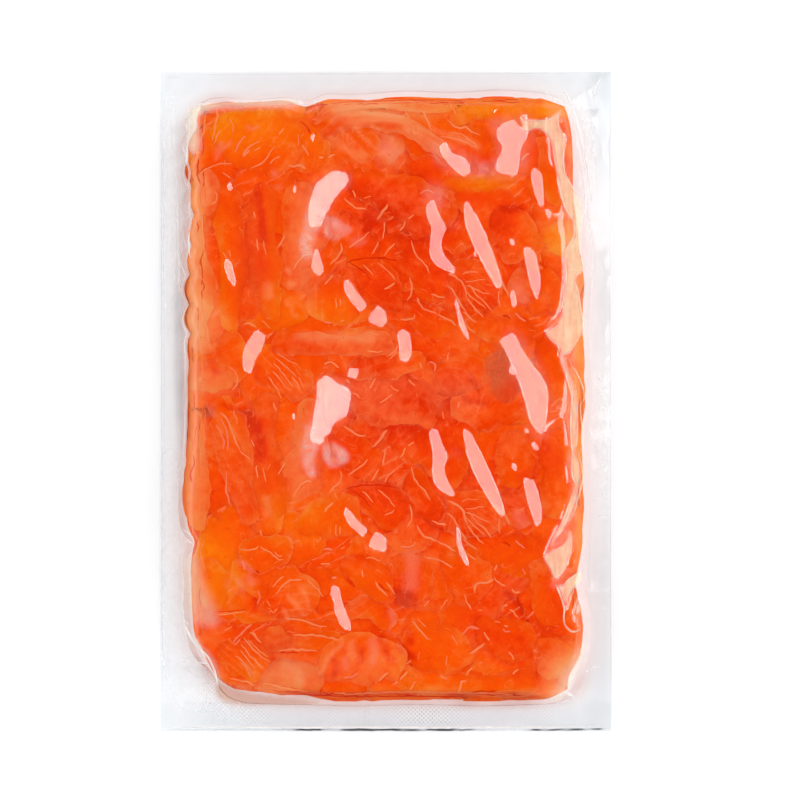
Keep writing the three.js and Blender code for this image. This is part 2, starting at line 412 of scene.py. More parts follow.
# The right shoulder, in lengths.
SHOULDER = [
    [(520, 119), (534, 121), (545, 120.5), (555, 116.5), (561, 110), (558, 123), (562.6, 134.5), (563.8, 146), (563.3, 160), (565, 173.5), (569.5, 183), (575.3, 192), (580.4, 203.4), (582.2, 219.5), (580.4, 235), (574, 235), (573.5, 222), (569.5, 215), (565, 207), (561.5, 196.6), (559.2, 185), (557, 171.3), (554.6, 160), (552.3, 146), (548.8, 137), (543, 132), (534, 130), (524, 133)],
    [(574, 236), (580.4, 236), (580.4, 247), (578.8, 256), (581.8, 261), (583.4, 270), (576, 276), (575.3, 282), (578.8, 295.4), (580.4, 307), (583, 320.7), (582, 330), (575.3, 344), (569.5, 352), (562.6, 355), (558, 346), (550, 339), (544.2, 330), (554.6, 327.6), (561, 316), (562.6, 307), (564.2, 293), (566, 279), (566, 270), (565, 261), (566, 249.4), (571.8, 240)],
    [(558.7, 355), (562.6, 355.3), (566, 366.8), (571.8, 380.6), (575.3, 392), (576.5, 401), (577, 422), (576.5, 440), (574.8, 454), (578.8, 463.3), (580.4, 477), (577.6, 491), (574, 504.7), (569.5, 518.5), (562.6, 530), (552.3, 542.6), (548.8, 545), (554.6, 534.6), (561.5, 523), (567.2, 509.4), (571.8, 495.6), (575.3, 484), (572.5, 477), (571.2, 465.6), (572.5, 454), (571.2, 440.4), (570.7, 426.6), (571.2, 410.5), (571.8, 399), (570.2, 389.8), (566, 376), (561.5, 364.5)],
    [(569, 528), (571.7, 541), (571.7, 547), (569, 555.6), (565.6, 565.6), (562.2, 571), (555.6, 579), (553.9, 579), (551, 573), (549.4, 566.7), (544.4, 560), (542.8, 554.4), (549, 552), (551, 549), (558, 547), (565.6, 541), (566.7, 536.7)],
    [(556.7, 583), (563, 585.5), (567.8, 580), (574.4, 576), (580, 571), (583, 574), (581, 581), (574.4, 588), (570, 594.4), (566.7, 601), (565, 607), (563.3, 599), (560, 590)],
    [(577, 604), (581, 601), (582, 606), (579.5, 613), (577, 614), (575.5, 610)],
]


def film_relief():
    """Dents and ridges of the film, so that it leans to the light exactly there.

    The slopes asked for are joined into one surface again and again, each time
    with the places that may not shine turned a little away from the light."""
    on = np.zeros(XX.shape, bool)
    for k, shape in enumerate(GLINTS):
        on |= within(shape, rough=0.7 if k in (0, 13) else 0.4 if k < 27 else 0.15)
    low_on = np.zeros(XX.shape, bool)
    for shape in SHOULDER:
        low_on |= within(shape, z=18.0)
    low_on &= ~on
    hot_on = within(GLINTS[0], -0.6) | within(GLINTS[13], -0.6)
    gx, gy = leaning(XX, YY)
    lx, ly = leaning(XX, YY, LOW)
    hx, hy = leaning(XX, YY, HOT)
    keep = smooth(-0.1, 0.12, INSIDE)  # relief dies away down the wall
    flat = smooth(0.75, 1.1, INSIDE) > 0.3
    ny, nx = XX.shape
    kx = np.sin(2 * np.pi * np.fft.fftfreq(nx))[None, :] / CELL
    ky = np.sin(2 * np.pi * np.fft.fftfreq(ny))[:, None] / CELL
    k2 = kx**2 + ky**2
    k2 = np.where(k2 < 1e-6, np.inf, k2) + 1 / 22.0**2  # wide swells die away
    fx, fy = np.fft.fftfreq(nx, CELL)[None, :], np.fft.fftfreq(ny, CELL)[:, None]
    blur = np.exp(-2 * (np.pi * 0.45) ** 2 * (fx**2 + fy**2))

    def soft(grid):
        return np.real(np.fft.ifft2(np.fft.fft2(grid) * blur))

    bgy, bgx = np.gradient(upper(X0, Y0), CELL)
    h = (0.10 * wobble(XX, YY, 3.1, 5) + 0.24 * wobble(XX, YY, 7.3, 6)) * keep
    clear = math.tan(KEY_HALF / 2) + 0.045
    tx_ = np.where(low_on, lx, np.where(hot_on, hx, gx))
    ty_ = np.where(low_on, ly, np.where(hot_on, hy, gy))
    any_on = on | low_on
    push_x, push_y = np.zeros(XX.shape), np.zeros(XX.shape)
    for turn in range(130):
        hy_, hx_ = np.gradient(h, CELL)
        sx, sy = hx_ + bgx, hy_ + bgy
        push_x = np.clip(push_x + 0.35 * (tx_ - sx), -0.6, 0.6) * any_on
        push_y = np.clip(push_y + 0.35 * (ty_ - sy), -0.6, 0.6) * any_on
        ax, ay = sx - gx, sy - gy
        r = np.hypot(ax, ay) + 1e-9
        near = (r < clear) & ~any_on & flat
        out = np.where(near, clear / r, 1.0)
        ox, oy = gx + ax * out, gy + ay * out
        steep = np.hypot(ox, oy)
        calm = np.where((steep > 0.21) & ~near & flat, 0.21 / (steep + 1e-9), 1.0)
        ox, oy = 0.99 * (ox * calm - bgx), 0.99 * (oy * calm - bgy)
        ox = np.where(any_on, tx_ + push_x - bgx, ox)
        oy = np.where(any_on, ty_ + push_y - bgy, oy)
        # the surface whose slopes come nearest to these
        h = np.real(np.fft.ifft2(-1j * (kx * np.fft.fft2(ox) + ky * np.fft.fft2(oy)) / k2 * blur))
        h -= h[:20].mean()
        h *= keep
        h = 3.6 * np.tanh(h / 3.6)
    return h, on


RELIEF, SHINES = film_relief()
SKIN = upper(X0, Y0) + RELIEF  # the upper film, on the map


def mesh(name, points, faces, material, attributes=None, smooth_=True):
    """An object from points in millimetres and faces of three or four corners."""
    me = bpy.data.meshes.new(name)
    points = np.asarray(points, np.float64) / 1000
    if isinstance(faces, np.ndarray):
        n, k = faces.shape
        me.vertices.add(len(points))
        me.vertices.foreach_set("co", points.ravel())
        me.loops.add(n * k)
        me.loops.foreach_set("vertex_index", faces.ravel().astype(np.int32))
        me.polygons.add(n)
        me.polygons.foreach_set("loop_start", np.arange(0, n * k, k, dtype=np.int32))
        me.polygons.foreach_set("loop_total", np.full(n, k, np.int32))
        me.update(calc_edges=True)
        me.validate()
    else:
        me.from_pydata(points.tolist(), [], faces)
    for key, values in (attributes or {}).items():
        values = np.asarray(values, np.float32)
        if values.shape[1] == 4:
            a = me.attributes.new(key, "FLOAT_COLOR", "POINT")
            a.data.foreach_set("color", values.ravel())
        else:
            a = me.attributes.new(key, "FLOAT_VECTOR", "POINT")
            a.data.foreach_set("vector", values.ravel())
    me.polygons.foreach_set("use_smooth", [smooth_] * len(me.polygons))
    me.set_sharp_from_angle(angle=math.radians(75))
    o = bpy.data.objects.new(name, me)
    bpy.context.scene.collection.objects.link(o)
    me.materials.append(material)
    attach(o, "root")
    return o


def sheet_faces(nu, nv, base=0, flip=False):
    """Quads of a grid of nu by nv points, numbered v first."""
    i, j = np.meshgrid(np.arange(nu - 1), np.arange(nv - 1), indexing="ij")
    a = base + i * nv + j
    q = np.stack([a, a + nv, a + nv + 1, a + 1], -1).reshape(-1, 4)
    return q[:, ::-1] if flip else q


# ------------------------------------------------------------------ materials
def srgb(r, g, b):
    c = np.array([r, g, b]) / 255
    c = np.where(c <= 0.04045, c / 12.92, ((c + 0.055) / 1.055) ** 2.4)
    return (*c.tolist(), 1.0)


class Nodes:
    """Short names for the nodes that the materials use."""

    def __init__(self, name):
        self.material = bpy.data.materials.new(name)
        self.material.use_nodes = True
        self.tree = self.material.node_tree
        self.tree.nodes.clear()

    def put(self, socket, value):
        if value is None:
            return
        if hasattr(value, "is_output"):
            self.tree.links.new(value, socket)
        elif isinstance(value, (int, float)) and socket.type in ("VECTOR", "RGBA"):
            socket.default_value = (value,) * (3 if socket.type == "VECTOR" else 4)
        else:
            socket.default_value = value

    def math(self, how, a, b=None, c=None, clamp=False):
        n = self.tree.nodes.new("ShaderNodeMath")
        n.operation, n.use_clamp = how, clamp
        for s, v in zip(n.inputs, (a, b, c)):
            self.put(s, v)
        return n.outputs[0]

    def add(self, *values):
        out = values[0]
        for v in values[1:]:
            out = self.math("ADD", out, v)
        return out

    def mul(self, *values):
        out = values[0]
        for v in values[1:]:
            out = self.math("MULTIPLY", out, v)
        return out

    def vec(self, how, a, b=None):
        n = self.tree.nodes.new("ShaderNodeVectorMath")
        n.operation = how
        self.put(n.inputs[0], a)
        if how == "SCALE":
            self.put(n.inputs["Scale"], b)
        elif b is not None:
            self.put(n.inputs[1], b)
        return n.outputs[0]

    def xyz(self, x=0.0, y=0.0, z=0.0):
        n = self.tree.nodes.new("ShaderNodeCombineXYZ")
        for s, v in zip(n.inputs, (x, y, z)):
            self.put(s, v)
        return n.outputs[0]

    def split(self, v):
        n = self.tree.nodes.new("ShaderNodeSeparateXYZ")
        self.put(n.inputs[0], v)
        return n.outputs[0], n.outputs[1], n.outputs[2]

    def attribute(self, name):
        n = self.tree.nodes.new("ShaderNodeAttribute")
        n.attribute_name = name
        return n.outputs["Vector"]

    def place(self):
        """Place on the pack in millimetres."""
        n = self.tree.nodes.new("ShaderNodeTexCoord")
        return self.vec("SCALE", n.outputs["Object"], 1000.0)

    def noise(self, v, size, detail=2.0, rough=0.5, bend=0.0):
        n = self.tree.nodes.new("ShaderNodeTexNoise")
        self.put(n.inputs["Vector"], v)
        n.inputs["Scale"].default_value = 1.0 / size
        n.inputs["Detail"].default_value = detail
        n.inputs["Roughness"].default_value = rough
        n.inputs["Distortion"].default_value = bend
        return n.outputs["Fac"]

    def voronoi(self, v, size, feature="F1"):
        n = self.tree.nodes.new("ShaderNodeTexVoronoi")
        n.feature = feature
        self.put(n.inputs["Vector"], v)
        n.inputs["Scale"].default_value = 1.0 / size
        return n.outputs["Distance"]

    def range(self, v, a, b, c=0.0, d=1.0, soft=True):
        n = self.tree.nodes.new("ShaderNodeMapRange")
        n.interpolation_type = "SMOOTHSTEP" if soft else "LINEAR"
        for k, s in ((0, v), (1, a), (2, b), (3, c), (4, d)):
            self.put(n.inputs[k], s)
        return n.outputs[0]

    def mix(self, f, a, b):
        n = self.tree.nodes.new("ShaderNodeMix")
        n.data_type = "RGBA"
        self.put(n.inputs[0], f)
        self.put(n.inputs[6], a)
        self.put(n.inputs[7], b)
        return n.outputs[2]

    def ramp(self, f, *stops):
        n = self.tree.nodes.new("ShaderNodeValToRGB")
        self.put(n.inputs[0], f)
        e = n.color_ramp.elements
        while len(e) < len(stops):
            e.new(0.5)
        for k, (p, c) in enumerate(stops):
            e[k].position, e[k].color = p, c
        return n.outputs[0]

    def bump(self, height, strength, distance, normal=None):
        n = self.tree.nodes.new("ShaderNodeBump")
        n.inputs["Strength"].default_value = strength
        n.inputs["Distance"].default_value = distance
        self.put(n.inputs["Height"], height)
        self.put(n.inputs["Normal"], normal)
        return n.outputs[0]

    def shader(self, kind, **values):
        n = self.tree.nodes.new("ShaderNode" + kind)
        for key, v in values.items():
            self.put(n.inputs[key.replace("_", " ")], v)
        return n.outputs[0]

    def blend(self, f, a, b):
        n = self.tree.nodes.new("ShaderNodeMixShader")
        self.put(n.inputs[0], f)
        self.put(n.inputs[1], a)
        self.put(n.inputs[2], b)
        return n.outputs[0]

    def both(self, a, b):
        n = self.tree.nodes.new("ShaderNodeAddShader")
        self.put(n.inputs[0], a)
        self.put(n.inputs[1], b)
        return n.outputs[0]

    def done(self, shader):
        out = self.tree.nodes.new("ShaderNodeOutputMaterial")
        self.tree.links.new(shader, out.inputs["Surface"])
        return self.material


def flesh(name):
    """Cold smoked salmon: orange flesh, pale fat between its muscle bands.

    'fibre' holds the band number across the slice, the length along the bands and
    a number of the slice's own. 'look' holds hue, paleness and the strength of the
    fat lines, and 'look2' the nearness of the cut edge, browning and pinkness."""
    t = Nodes(name)
    place_ = t.place()
    u, v, own = t.split(t.attribute("fibre"))
    hue, pale, lines = t.split(t.attribute("look"))
    edge, brown, pink = t.split(t.attribute("look2"))
    shifted = t.vec("ADD", place_, t.xyz(own, t.mul(own, 1.7), t.mul(own, 0.6)))
    big = t.noise(shifted, 17.0, 2.0)
    mid = t.noise(shifted, 4.6, 3.0, 0.6, 0.4)
    fine = t.noise(shifted, 1.3, 3.0, 0.65)
    # fat lines, at each whole band number
    bent = t.add(u, t.mul(t.math("SUBTRACT", mid, 0.5), 0.55), t.mul(t.math("SUBTRACT", big, 0.5), 1.4))
    off = t.math("PINGPONG", bent, 0.5)
    width = t.range(t.noise(shifted, 6.0, 1.0), 0.3, 0.7, 0.04, 0.11)
    line = t.range(off, 0.0, width, 1.0, 0.0)
    patchy = t.range(t.noise(t.xyz(t.mul(u, 1.9), t.mul(v, 0.12), own), 1.0, 1.0), 0.36, 0.6, 0.12, 1.0)
    line = t.mul(line, patchy, lines)
    halo = t.mul(t.range(off, 0.0, 0.36, 1.0, 0.0), lines)
    # wandering seams of connective tissue
    w1 = t.noise(shifted, 11.0, 1.0, 0.5, 1.1)
    seam = t.range(t.math("ABSOLUTE", t.math("SUBTRACT", w1, 0.5)), 0.0, 0.011, 1.0, 0.0)
    seam = t.mul(seam, t.range(t.noise(shifted, 8.0, 1.0), 0.46, 0.6, 0.0, 0.8))
    # muscle fibres, fine streaks along each band
    streak = t.noise(t.xyz(t.mul(u, 9.0), t.mul(v, 0.22), own), 1.0, 3.0, 0.6)
    h = t.add(
        hue,
        t.mul(t.math("SUBTRACT", big, 0.5), 0.55),
        t.mul(t.math("SUBTRACT", mid, 0.5), 0.42),
        t.mul(t.math("SUBTRACT", streak, 0.5), 0.16),
        t.mul(t.math("SUBTRACT", fine, 0.5), 0.14),
    )
    colour = t.ramp(
        t.math("ADD", h, 0.0, clamp=True),
        (0.0, srgb(224, 42, 2)),
        (0.25, srgb(243, 62, 2)),
        (0.48, srgb(250, 83, 2)),
        (0.72, srgb(251, 104, 3)),
        (1.0, srgb(252, 134, 6)),
    )
    p = t.add(
        pale,
        -0.03,
        t.mul(t.math("SUBTRACT", big, 0.5), 0.3),
        t.mul(t.math("SUBTRACT", mid, 0.5), 0.34),
        t.mul(edge, 0.26),
        t.mul(halo, 0.16),
        t.mul(line, 0.52),
        t.mul(seam, 0.3),
    )
    colour = t.mix(t.math("ADD", p, 0.0, clamp=True), colour, srgb(251, 160, 108))
    colour = t.mix(t.math("ADD", pink, 0.0, clamp=True), colour, srgb(251, 136, 114))
    b = t.mul(brown, t.range(fine, 0.3, 0.62, 0.5, 1.0))
    colour = t.mix(t.math("ADD", b, 0.0, clamp=True), colour, srgb(206, 84, 52))
    # small dark specks
    speck = t.range(t.voronoi(shifted, 4.2), 0.03, 0.10, 1.0, 0.0)
    speck = t.mul(speck, t.range(t.noise(shifted, 9.0, 0.0), 0.52, 0.62, 0.0, 0.7))
    colour = t.mix(speck, colour, srgb(188, 36, 14))
    bump = t.bump(t.add(t.mul(line, 0.5), t.mul(streak, 0.5), t.mul(mid, 1.2)), 0.35, 0.0004)
    rough = t.range(mid, 0.3, 0.7, 0.30, 0.46)
    n = t.tree.nodes.new("ShaderNodeBsdfPrincipled")
    t.put(n.inputs["Base Color"], colour)
    t.put(n.inputs["Roughness"], rough)
    t.put(n.inputs["Normal"], bump)
    n.inputs["IOR"].default_value = 1.4
    n.inputs["Specular IOR Level"].default_value = 0.06
    n.inputs["Subsurface Weight"].default_value = 0.12
    n.inputs["Subsurface Radius"].default_value = (1.0, 0.3, 0.12)
    n.inputs["Subsurface Scale"].default_value = 0.0025
    return t.done(n.outputs[0])


def film(name):
    """Clear pouch film: see-through, with gloss at its own slope.

    'haze' holds how milky the film is, painted glare and painted light included, how
    strongly its knurl is pressed in and how grey it is, painted shadow included, and
    'sheen' how glossy it is, how warm the painted glare is and how strong the painted
    red shade beside the fish is."""
    t = Nodes(name)
    place_ = t.place()
    haze, knurl, grey_and_shade = t.split(t.attribute("haze"))
    gloss, glare_warmth, red_shade_tint = t.split(t.attribute("sheen"))
    x, y, _ = t.split(place_)
    a = t.math("SINE", t.mul(x, 3.2))
    b = t.math("SINE", t.mul(y, 3.2))
    grid = t.mul(t.math("MULTIPLY", a, b), knurl)
    small = t.noise(place_, 2.2, 3.0, 0.6)
    tiny = t.noise(place_, 0.7, 2.0, 0.6)
    height = t.add(t.mul(small, 0.5), t.mul(tiny, 0.16), t.mul(grid, 1.1))
    bump = t.bump(height, 0.12, 0.0005)
    f = t.tree.nodes.new("ShaderNodeLayerWeight")
    f.inputs["Blend"].default_value = 0.5
    t.put(f.inputs["Normal"], bump)
    graze = t.math("POWER", f.outputs["Facing"], 5.0)
    shine = t.mul(t.math("ADD", t.math("MULTIPLY", graze, 0.25), 0.042, clamp=True), gloss)
    glossy = t.shader("BsdfGlossy", Color=(1, 1, 1, 1), Roughness=0.075, Normal=bump)
    clear = t.mix(grey_and_shade, (1, 1, 1, 1), (0.62, 0.645, 0.675, 1))
    # painted shadow line under the pouch's cut edge: where grey is highest the film goes nearly black
    clear = t.mix(t.range(grey_and_shade, 0.5, 0.92, 0.0, 1.0), clear, (0.18, 0.18, 0.185, 1))  # cut edges
    # painted red shade beside the fish: shadow and the fish's reflected red
    clear = t.mix(red_shade_tint, clear, (0.72, 0.49, 0.44, 1))
    see = t.shader("BsdfTransparent", Color=clear)
    body = t.blend(shine, see, glossy)
    # milk: the film's haze and knurl, with painted glare and painted light laid in as white
    milk_and_glare = t.math(
        "ADD",
        t.mul(haze, t.range(t.noise(place_, 9.0, 3.0, 0.6), 0.3, 0.7, 0.86, 1.14)),
        t.mul(knurl, t.range(grid, -0.4, 0.9, 0.0, 0.16)),
        clamp=True,
    )
    white = t.mix(glare_warmth, (0.94, 0.945, 0.965, 1), (0.98, 0.84, 0.54, 1))
    white = t.shader("BsdfDiffuse", Color=white, Normal=bump)
    return t.done(t.blend(milk_and_glare, body, white))


FLESH = flesh("salmon")
FILM = film("pouch_film")

# ------------------------------------------------------------------ the slices
ceiling = SKIN - 0.18  # what the next slice down lies against
ceiling = np.where(INSIDE > -0.12, ceiling, 0.0)
# painted shade: darker flesh beside the edges of the slices laid above
painted_shade = np.zeros(XX.shape)  # how near the slices already laid are

# Fields of tone over the pack: pixel, half sizes, turn in degrees, then what is
# added to hue (redder is less), paleness and browning.
FIELDS = [
    (255, 128, 62, 32, 0, 0.24, 0.00, 0.0),
    (196, 250, 12, 90, 0, 0.18, 0.38, 0.0),
    (196, 430, 11, 100, 0, 0.06, 0.26, 0.0),
    (205, 322, 22, 26, 0, 0.25, 0.40, 0.0),
    (430, 250, 105, 80, 0, -0.16, 0.02, 0.0),
    (385, 205, 40, 30, 0, -0.16, 0.0, 0.0),
    (485, 184, 40, 9, 0, 0.32, 0.0, 0.0),
    (556, 236, 20, 24, 0, 0.40, 0.08, 0.0),
    (505, 110, 64, 11, -3, 0.26, 0.0, 0.0),
    (556, 108, 14, 9, 0, 0.50, 0.08, 0.0),
    (375, 110, 60, 9, -5, 0.12, 0.42, 0.0),
    (392, 152, 14, 13, 0, 0.0, 0.34, 0.0),
    (340, 342, 64, 9, 0, -0.06, 0.05, 0.0),
    (503, 366, 14, 26, -18, -0.1, 0.16, 0.62),
    (210, 385, 28, 14, 0, 0.06, 0.18, 0.1),
    (385, 400, 60, 40, 0, -0.16, 0.10, 0.0),
    (430, 480, 100, 80, 0, -0.15, 0.04, 0.0),
    (217, 574, 30, 40, 0, 0.36, 0.03, 0.0),
    (250, 265, 16, 62, 0, -0.10, 0.0, 0.12),
    (250, 460, 16, 62, 0, -0.10, 0.0, 0.12),
    (305, 250, 16, 60, 0, 0.0, 0.22, 0.0),
    (300, 455, 16, 45, 0, 0.0, 0.20, 0.0),
    (278, 638, 20, 24, 0, -0.05, 0.05, 0.22),
    (350, 668, 40, 18, 0, 0.06, 0.10, 0.0),
    (285, 676, 26, 14, 0, 0.12, 0.28, 0.0),
    (440, 660, 80, 22, 0, 0.04, 0.0, 0.0),
    (515, 620, 60, 46, 0, -0.12, 0.02, 0.0),
    (566, 676, 22, 24, 0, 0.24, 0.46, 0.0),
    (552, 694, 22, 8, 0, 0.10, 0.24, 0.0),
    (582, 330, 7, 250, 0, 0.26, 0.16, 0.0),
    (300, 310, 50, 24, 0, 0.22, 0.0, 0.0),
    (300, 520, 50, 24, 0, 0.20, 0.0, 0.0),
    (405, 600, 12, 10, 0, -0.35, 0.0, 0.30),
    (208, 412, 6, 6, 0, -0.2, 0.15, 0.45),
    (455, 395, 30, 30, 0, -0.10, 0.12, 0.0),
]


# Strokes drawn over the slices, in pixels: first those too broad and soft to be
# threads, which tint the flesh, by kind, half width and middle line.
AGAIN = 227  # part of the pack comes again this far down
BROAD = [
    ("pink", 1.6, [(222, 143), (219, 149), (216, 157)]),
    ("pink", 1.7, [(230, 142), (223, 149), (218, 158)]),
    ("pink", 1.6, [(248, 127), (251, 130), (257, 127)]),
    ("pink", 2.0, [(274, 172), (278, 180), (280, 187)]),
    ("pale", 2.8, [(333, 120), (345, 116), (362, 114), (385, 116), (400, 118)]),
    ("pale", 2.2, [(334, 111), (350, 107), (372, 105), (398, 104)]),
    ("pale", 2.6, [(346, 123), (370, 121), (395, 121), (415, 128), (432, 136)]),
    ("pale", 1.9, [(341, 130), (347, 137), (354, 144)]),
    ("pale", 1.9, [(355, 127), (360, 134), (370, 146)]),
    ("pale", 1.9, [(372, 126), (382, 134), (392, 139)]),
    ("pale", 4.5, [(334, 141), (346, 148), (362, 156)]),
    ("pink", 7.5, [(386, 148), (393, 152)]),
    ("pale", 3.5, [(405, 128), (425, 140), (442, 150)]),
    ("pale", 3.0, [(430, 132), (455, 137), (478, 146)]),
    ("pink", 4.0, [(355, 243), (361, 240)]),
    ("pink", 3.6, [(336, 225), (343, 229)]),
    ("pink", 3.6, [(334, 447), (342, 453)]),
    ("pale", 2.6, [(288, 269), (289, 273)]),
    ("pale", 2.6, [(290, 284), (293, 285)]),
    ("pale", 2.6, [(290, 510), (292, 511)]),
    ("pale", 4.0, [(267, 285), (269, 296)]),
    ("pale", 4.0, [(267, 500), (268, 513)]),
    ("pale", 2.2, [(287, 302), (290, 308), (294, 316)]),
    ("pale", 2.2, [(288, 533), (293, 542)]),
    ("pale", 2.0, [(213, 315), (218, 311)]),
    ("pale", 5.0, [(300, 336), (340, 337), (372, 338)]),
    ("dark", 3.5, [(258, 195), (262, 215), (263, 240)]),
    ("dark", 3.0, [(224, 405), (232, 408), (240, 412)]),
    ("dark", 6.0, [(246, 412), (258, 430), (262, 455)]),
    ("dark", 2.0, [(470, 375), (476, 385), (480, 394), (487, 402)]),
    ("dark", 3.4, [(463, 398), (475, 402), (486, 405)]),
    ("dark", 2.2, [(213, 371), (220, 373)]),
    ("dark", 3.0, [(366, 214), (372, 222), (366, 230)]),
    ("dark", 4.0, [(505, 208), (520, 210)]),
    ("pink", 3.0, [(208, 408), (212, 414)]),
    ("pink", 2.4, [(240, 562), (246, 566), (252, 571)]),
    ("pink", 3.2, [(250, 578), (252, 583)]),
    ("pink", 6.0, [(234, 584), (239, 586)]),
    ("pink", 6.5, [(411, 556), (412, 570), (411, 584)]),
    ("pale", 2.0, [(288, 595), (293, 601), (298, 608), (303, 614)]),
    ("pale", 1.9, [(281, 607), (285, 611), (288, 618)]),
    ("pale", 2.2, [(302, 589), (306, 596), (309, 604)]),
    ("pale", 2.6, [(321, 672), (325, 663), (331, 654), (341, 645)]),
    ("pale", 4.2, [(351, 645), (351, 655)]),
    ("pink", 3.6, [(372, 641), (374, 650), (373, 662)]),
    ("pink", 3.2, [(345, 661), (346, 668)]),
    ("pink", 3.0, [(391, 611), (394, 620), (393, 631)]),
    ("dark", 3.0, [(333, 660), (336, 668), (334, 676)]),
    ("dark", 2.6, [(362, 650), (361, 662)]),
    ("dark", 3.6, [(381, 640), (386, 652), (392, 660)]),
    ("dark", 3.4, [(399, 593), (407, 594)]),
    ("dark", 4.0, [(408, 632), (410, 642)]),
    ("dark", 4.5, [(400, 648), (412, 656)]),
    ("dark", 2.6, [(505, 592), (515, 600), (522, 612)]),
    ("dark", 3.0, [(256, 600), (254, 612)]),
    ("pink", 5.0, [(516, 287), (524, 300)]),
    ("pink", 5.0, [(518, 514), (524, 526)]),
    ("pale", 5.0, [(285, 664), (297, 670), (300, 682)]),
    ("pale", 5.0, [(240, 690), (262, 692), (290, 694)]),
    ("pale", 4.0, [(214, 668), (220, 682), (228, 690)]),
    ("pale", 5.0, [(560, 672), (566, 684)]),
    ("pale", 3.0, [(204, 180), (208, 190), (206, 202)]),
]


def near_line(points, half):
    """1 on a drawn line and 0 away from it, on the map."""
    p, _ = spline(points, 40)
    x, y = at(p[:, 0], p[:, 1])
    r = half * PX
    i0, i1 = np.searchsorted(GX, [x.min() - 3 * r, x.max() + 3 * r])
    j0, j1 = np.searchsorted(GY, [y.min() - 3 * r, y.max() + 3 * r])
    X, Y = XX[j0:j1, i0:i1], YY[j0:j1, i0:i1]
    X, Y = X + 0.5 * wobble(X, Y, 3.7, 31), Y + 0.5 * wobble(X, Y, 3.7, 32)
    d = np.full(X.shape, 1e9)
    for a, b in zip(x, y):
        d = np.minimum(d, (X - a) ** 2 + (Y - b) ** 2)
    out = np.zeros(XX.shape)
    out[j0:j1, i0:i1] = np.exp(-((d / (r * r)) ** 1.4) * 0.7)
    return out


SOFT = [np.zeros(XX.shape) for _ in range(3)]
for kind, half_width, points in BROAD:
    k = ("pale", "pink", "dark").index(kind)
    SOFT[k] = np.maximum(SOFT[k], near_line(points, half_width) * (0.26, 0.34, 0.6)[k])


def tones(x, y):
    near = 1 - smooth(0.1, 1.5, read(INSIDE, x, y))  # thin and pale at the shoulders
    left = smooth(-60, -84, x)
    out = [near * (0.24 + 0.1 * left), near * (0.10 + 0.16 * left), 0.0]
    for px, py, a, b, turn, *parts in FIELDS:
        cx, cy = at(px, py)
        c, s = math.cos(math.radians(turn)), math.sin(math.radians(turn))
        u = (c * (x - cx) + s * (y - cy)) / (a * PX)
        v = (-s * (x - cx) + c * (y - cy)) / (b * PX)
        w = np.exp(-((u * u + v * v) ** 1.5))
        out = [o + w * p for o, p in zip(out, parts)]
    soft_pale, soft_pink, soft_dark = (read(g, x, y) for g in SOFT)
    return [out[0] - 0.5 * soft_dark, out[1] + soft_pale, out[2], soft_pink]


def bands(kind, x, y, s, t, width, seed, step, spot):
    """Band number and length along the bands, for one slice."""
    if kind == "across":  # lines run over the slice, bowed
        u = (s + 0.35 * np.abs(t) ** 1.5 * width) / step
        v = t * width
    elif kind == "along":
        u = t * width / step
        v = s
    elif kind == "fan":
        cx, cy = at(*spot)
        a, r = np.arctan2(y - cy, x - cx), np.hypot(x - cx, y - cy)
        u = (a + 3 * math.pi) * 12.0 / step
        v = r
    elif kind == "rings":
        cx, cy = at(*spot)
        r = np.hypot(x - cx, (y - cy) * 1.3)
        u = r / step
        v = np.arctan2(y - cy, x - cx) * 10
    else:  # a fixed direction over the pack, in degrees
        a = math.radians(kind)
        nx, ny = -math.sin(a), math.cos(a)
        u = (x * nx + y * ny + 0.9 * wobble(x, y, 14, seed)) / step
        v = x * math.cos(a) + y * math.sin(a)
    return u, v


class Heap:
    """Slices that go into one mesh."""

    def __init__(self):
        self.points, self.faces, self.fibre, self.look, self.look2 = [], [], [], [], []
        self.count = 0

    def take(self, points, faces, fibre, look, look2):
        self.points.append(points)
        self.faces.append(faces + self.count)
        self.fibre.append(fibre)
        self.look.append(look)
        self.look2.append(look2)
        self.count += len(points)

    def make(self, name):
        four = lambda a: np.c_[np.vstack(a), np.ones(self.count)]
        return mesh(
            name,
            np.vstack(self.points),
            np.vstack(self.faces),
            FLESH,
            {
                "fibre": np.vstack(self.fibre),
                "look": four(self.look),
                "look2": four(self.look2),
            },
        )


def clear_left(y0):
    """How far the fish stands off the pouch's foot on each side: clear film beside it."""
    return (
        0.9
        + 2.2 * smooth(108, 122, y0)
        + 2.6 * smooth(114, 129, y0)
        + 1.3 * smooth(52, 62, y0) * (1 - smooth(92, 100, y0))
        + 2.4 * smooth(-40, -58, y0)
        + 4.6 * smooth(-102, -118, y0)
    )


def clear_right(y0):
    return (
        0.9
        + 3.4 * smooth(46, 72, y0)
        + 1.3 * smooth(-28, -40, y0) * (1 - smooth(-56, -64, y0))
        + 2.4 * smooth(-74, -84, y0)
        + 4.8 * smooth(-112, -126, y0)
    )


def clear_top(x0):
    return 1.1 + 1.2 * smooth(-70, -80, x0) + 1.6 * smooth(-50, -36, x0) + 1.4 * smooth(70, 79, x0)


def clear_bottom(x0):
    return (
        1.9
        + 2.4 * smooth(-24, -38, x0)
        + 1.8 * smooth(-42, -62, x0)
        + 1.4 * smooth(-66, -78, x0)
        + 3.6 * smooth(70, 84, x0)
    )


def keep_in(x, y):
    """Draws points that lie past the shoulder back to it."""
    x0, y0 = unplace(x, y)

    def soft(d, least, reach=3.0):
        far = least + reach * np.exp(np.minimum(d - least - reach, 0) / reach)
        return np.where(d < least + reach, far, d)

    x0 = np.where(
        x0 < 0, LEFT + soft(x0 - LEFT, 0.2 + clear_left(y0)), RIGHT - soft(RIGHT - x0, 0.3 + clear_right(y0))
    )
    y0 = np.where(
        y0 < 0, BOTTOM + soft(y0 - BOTTOM, 0.2 + clear_bottom(x0)), TOP - soft(TOP - y0, 0.1 + clear_top(x0))
    )
    return place(x0, y0)


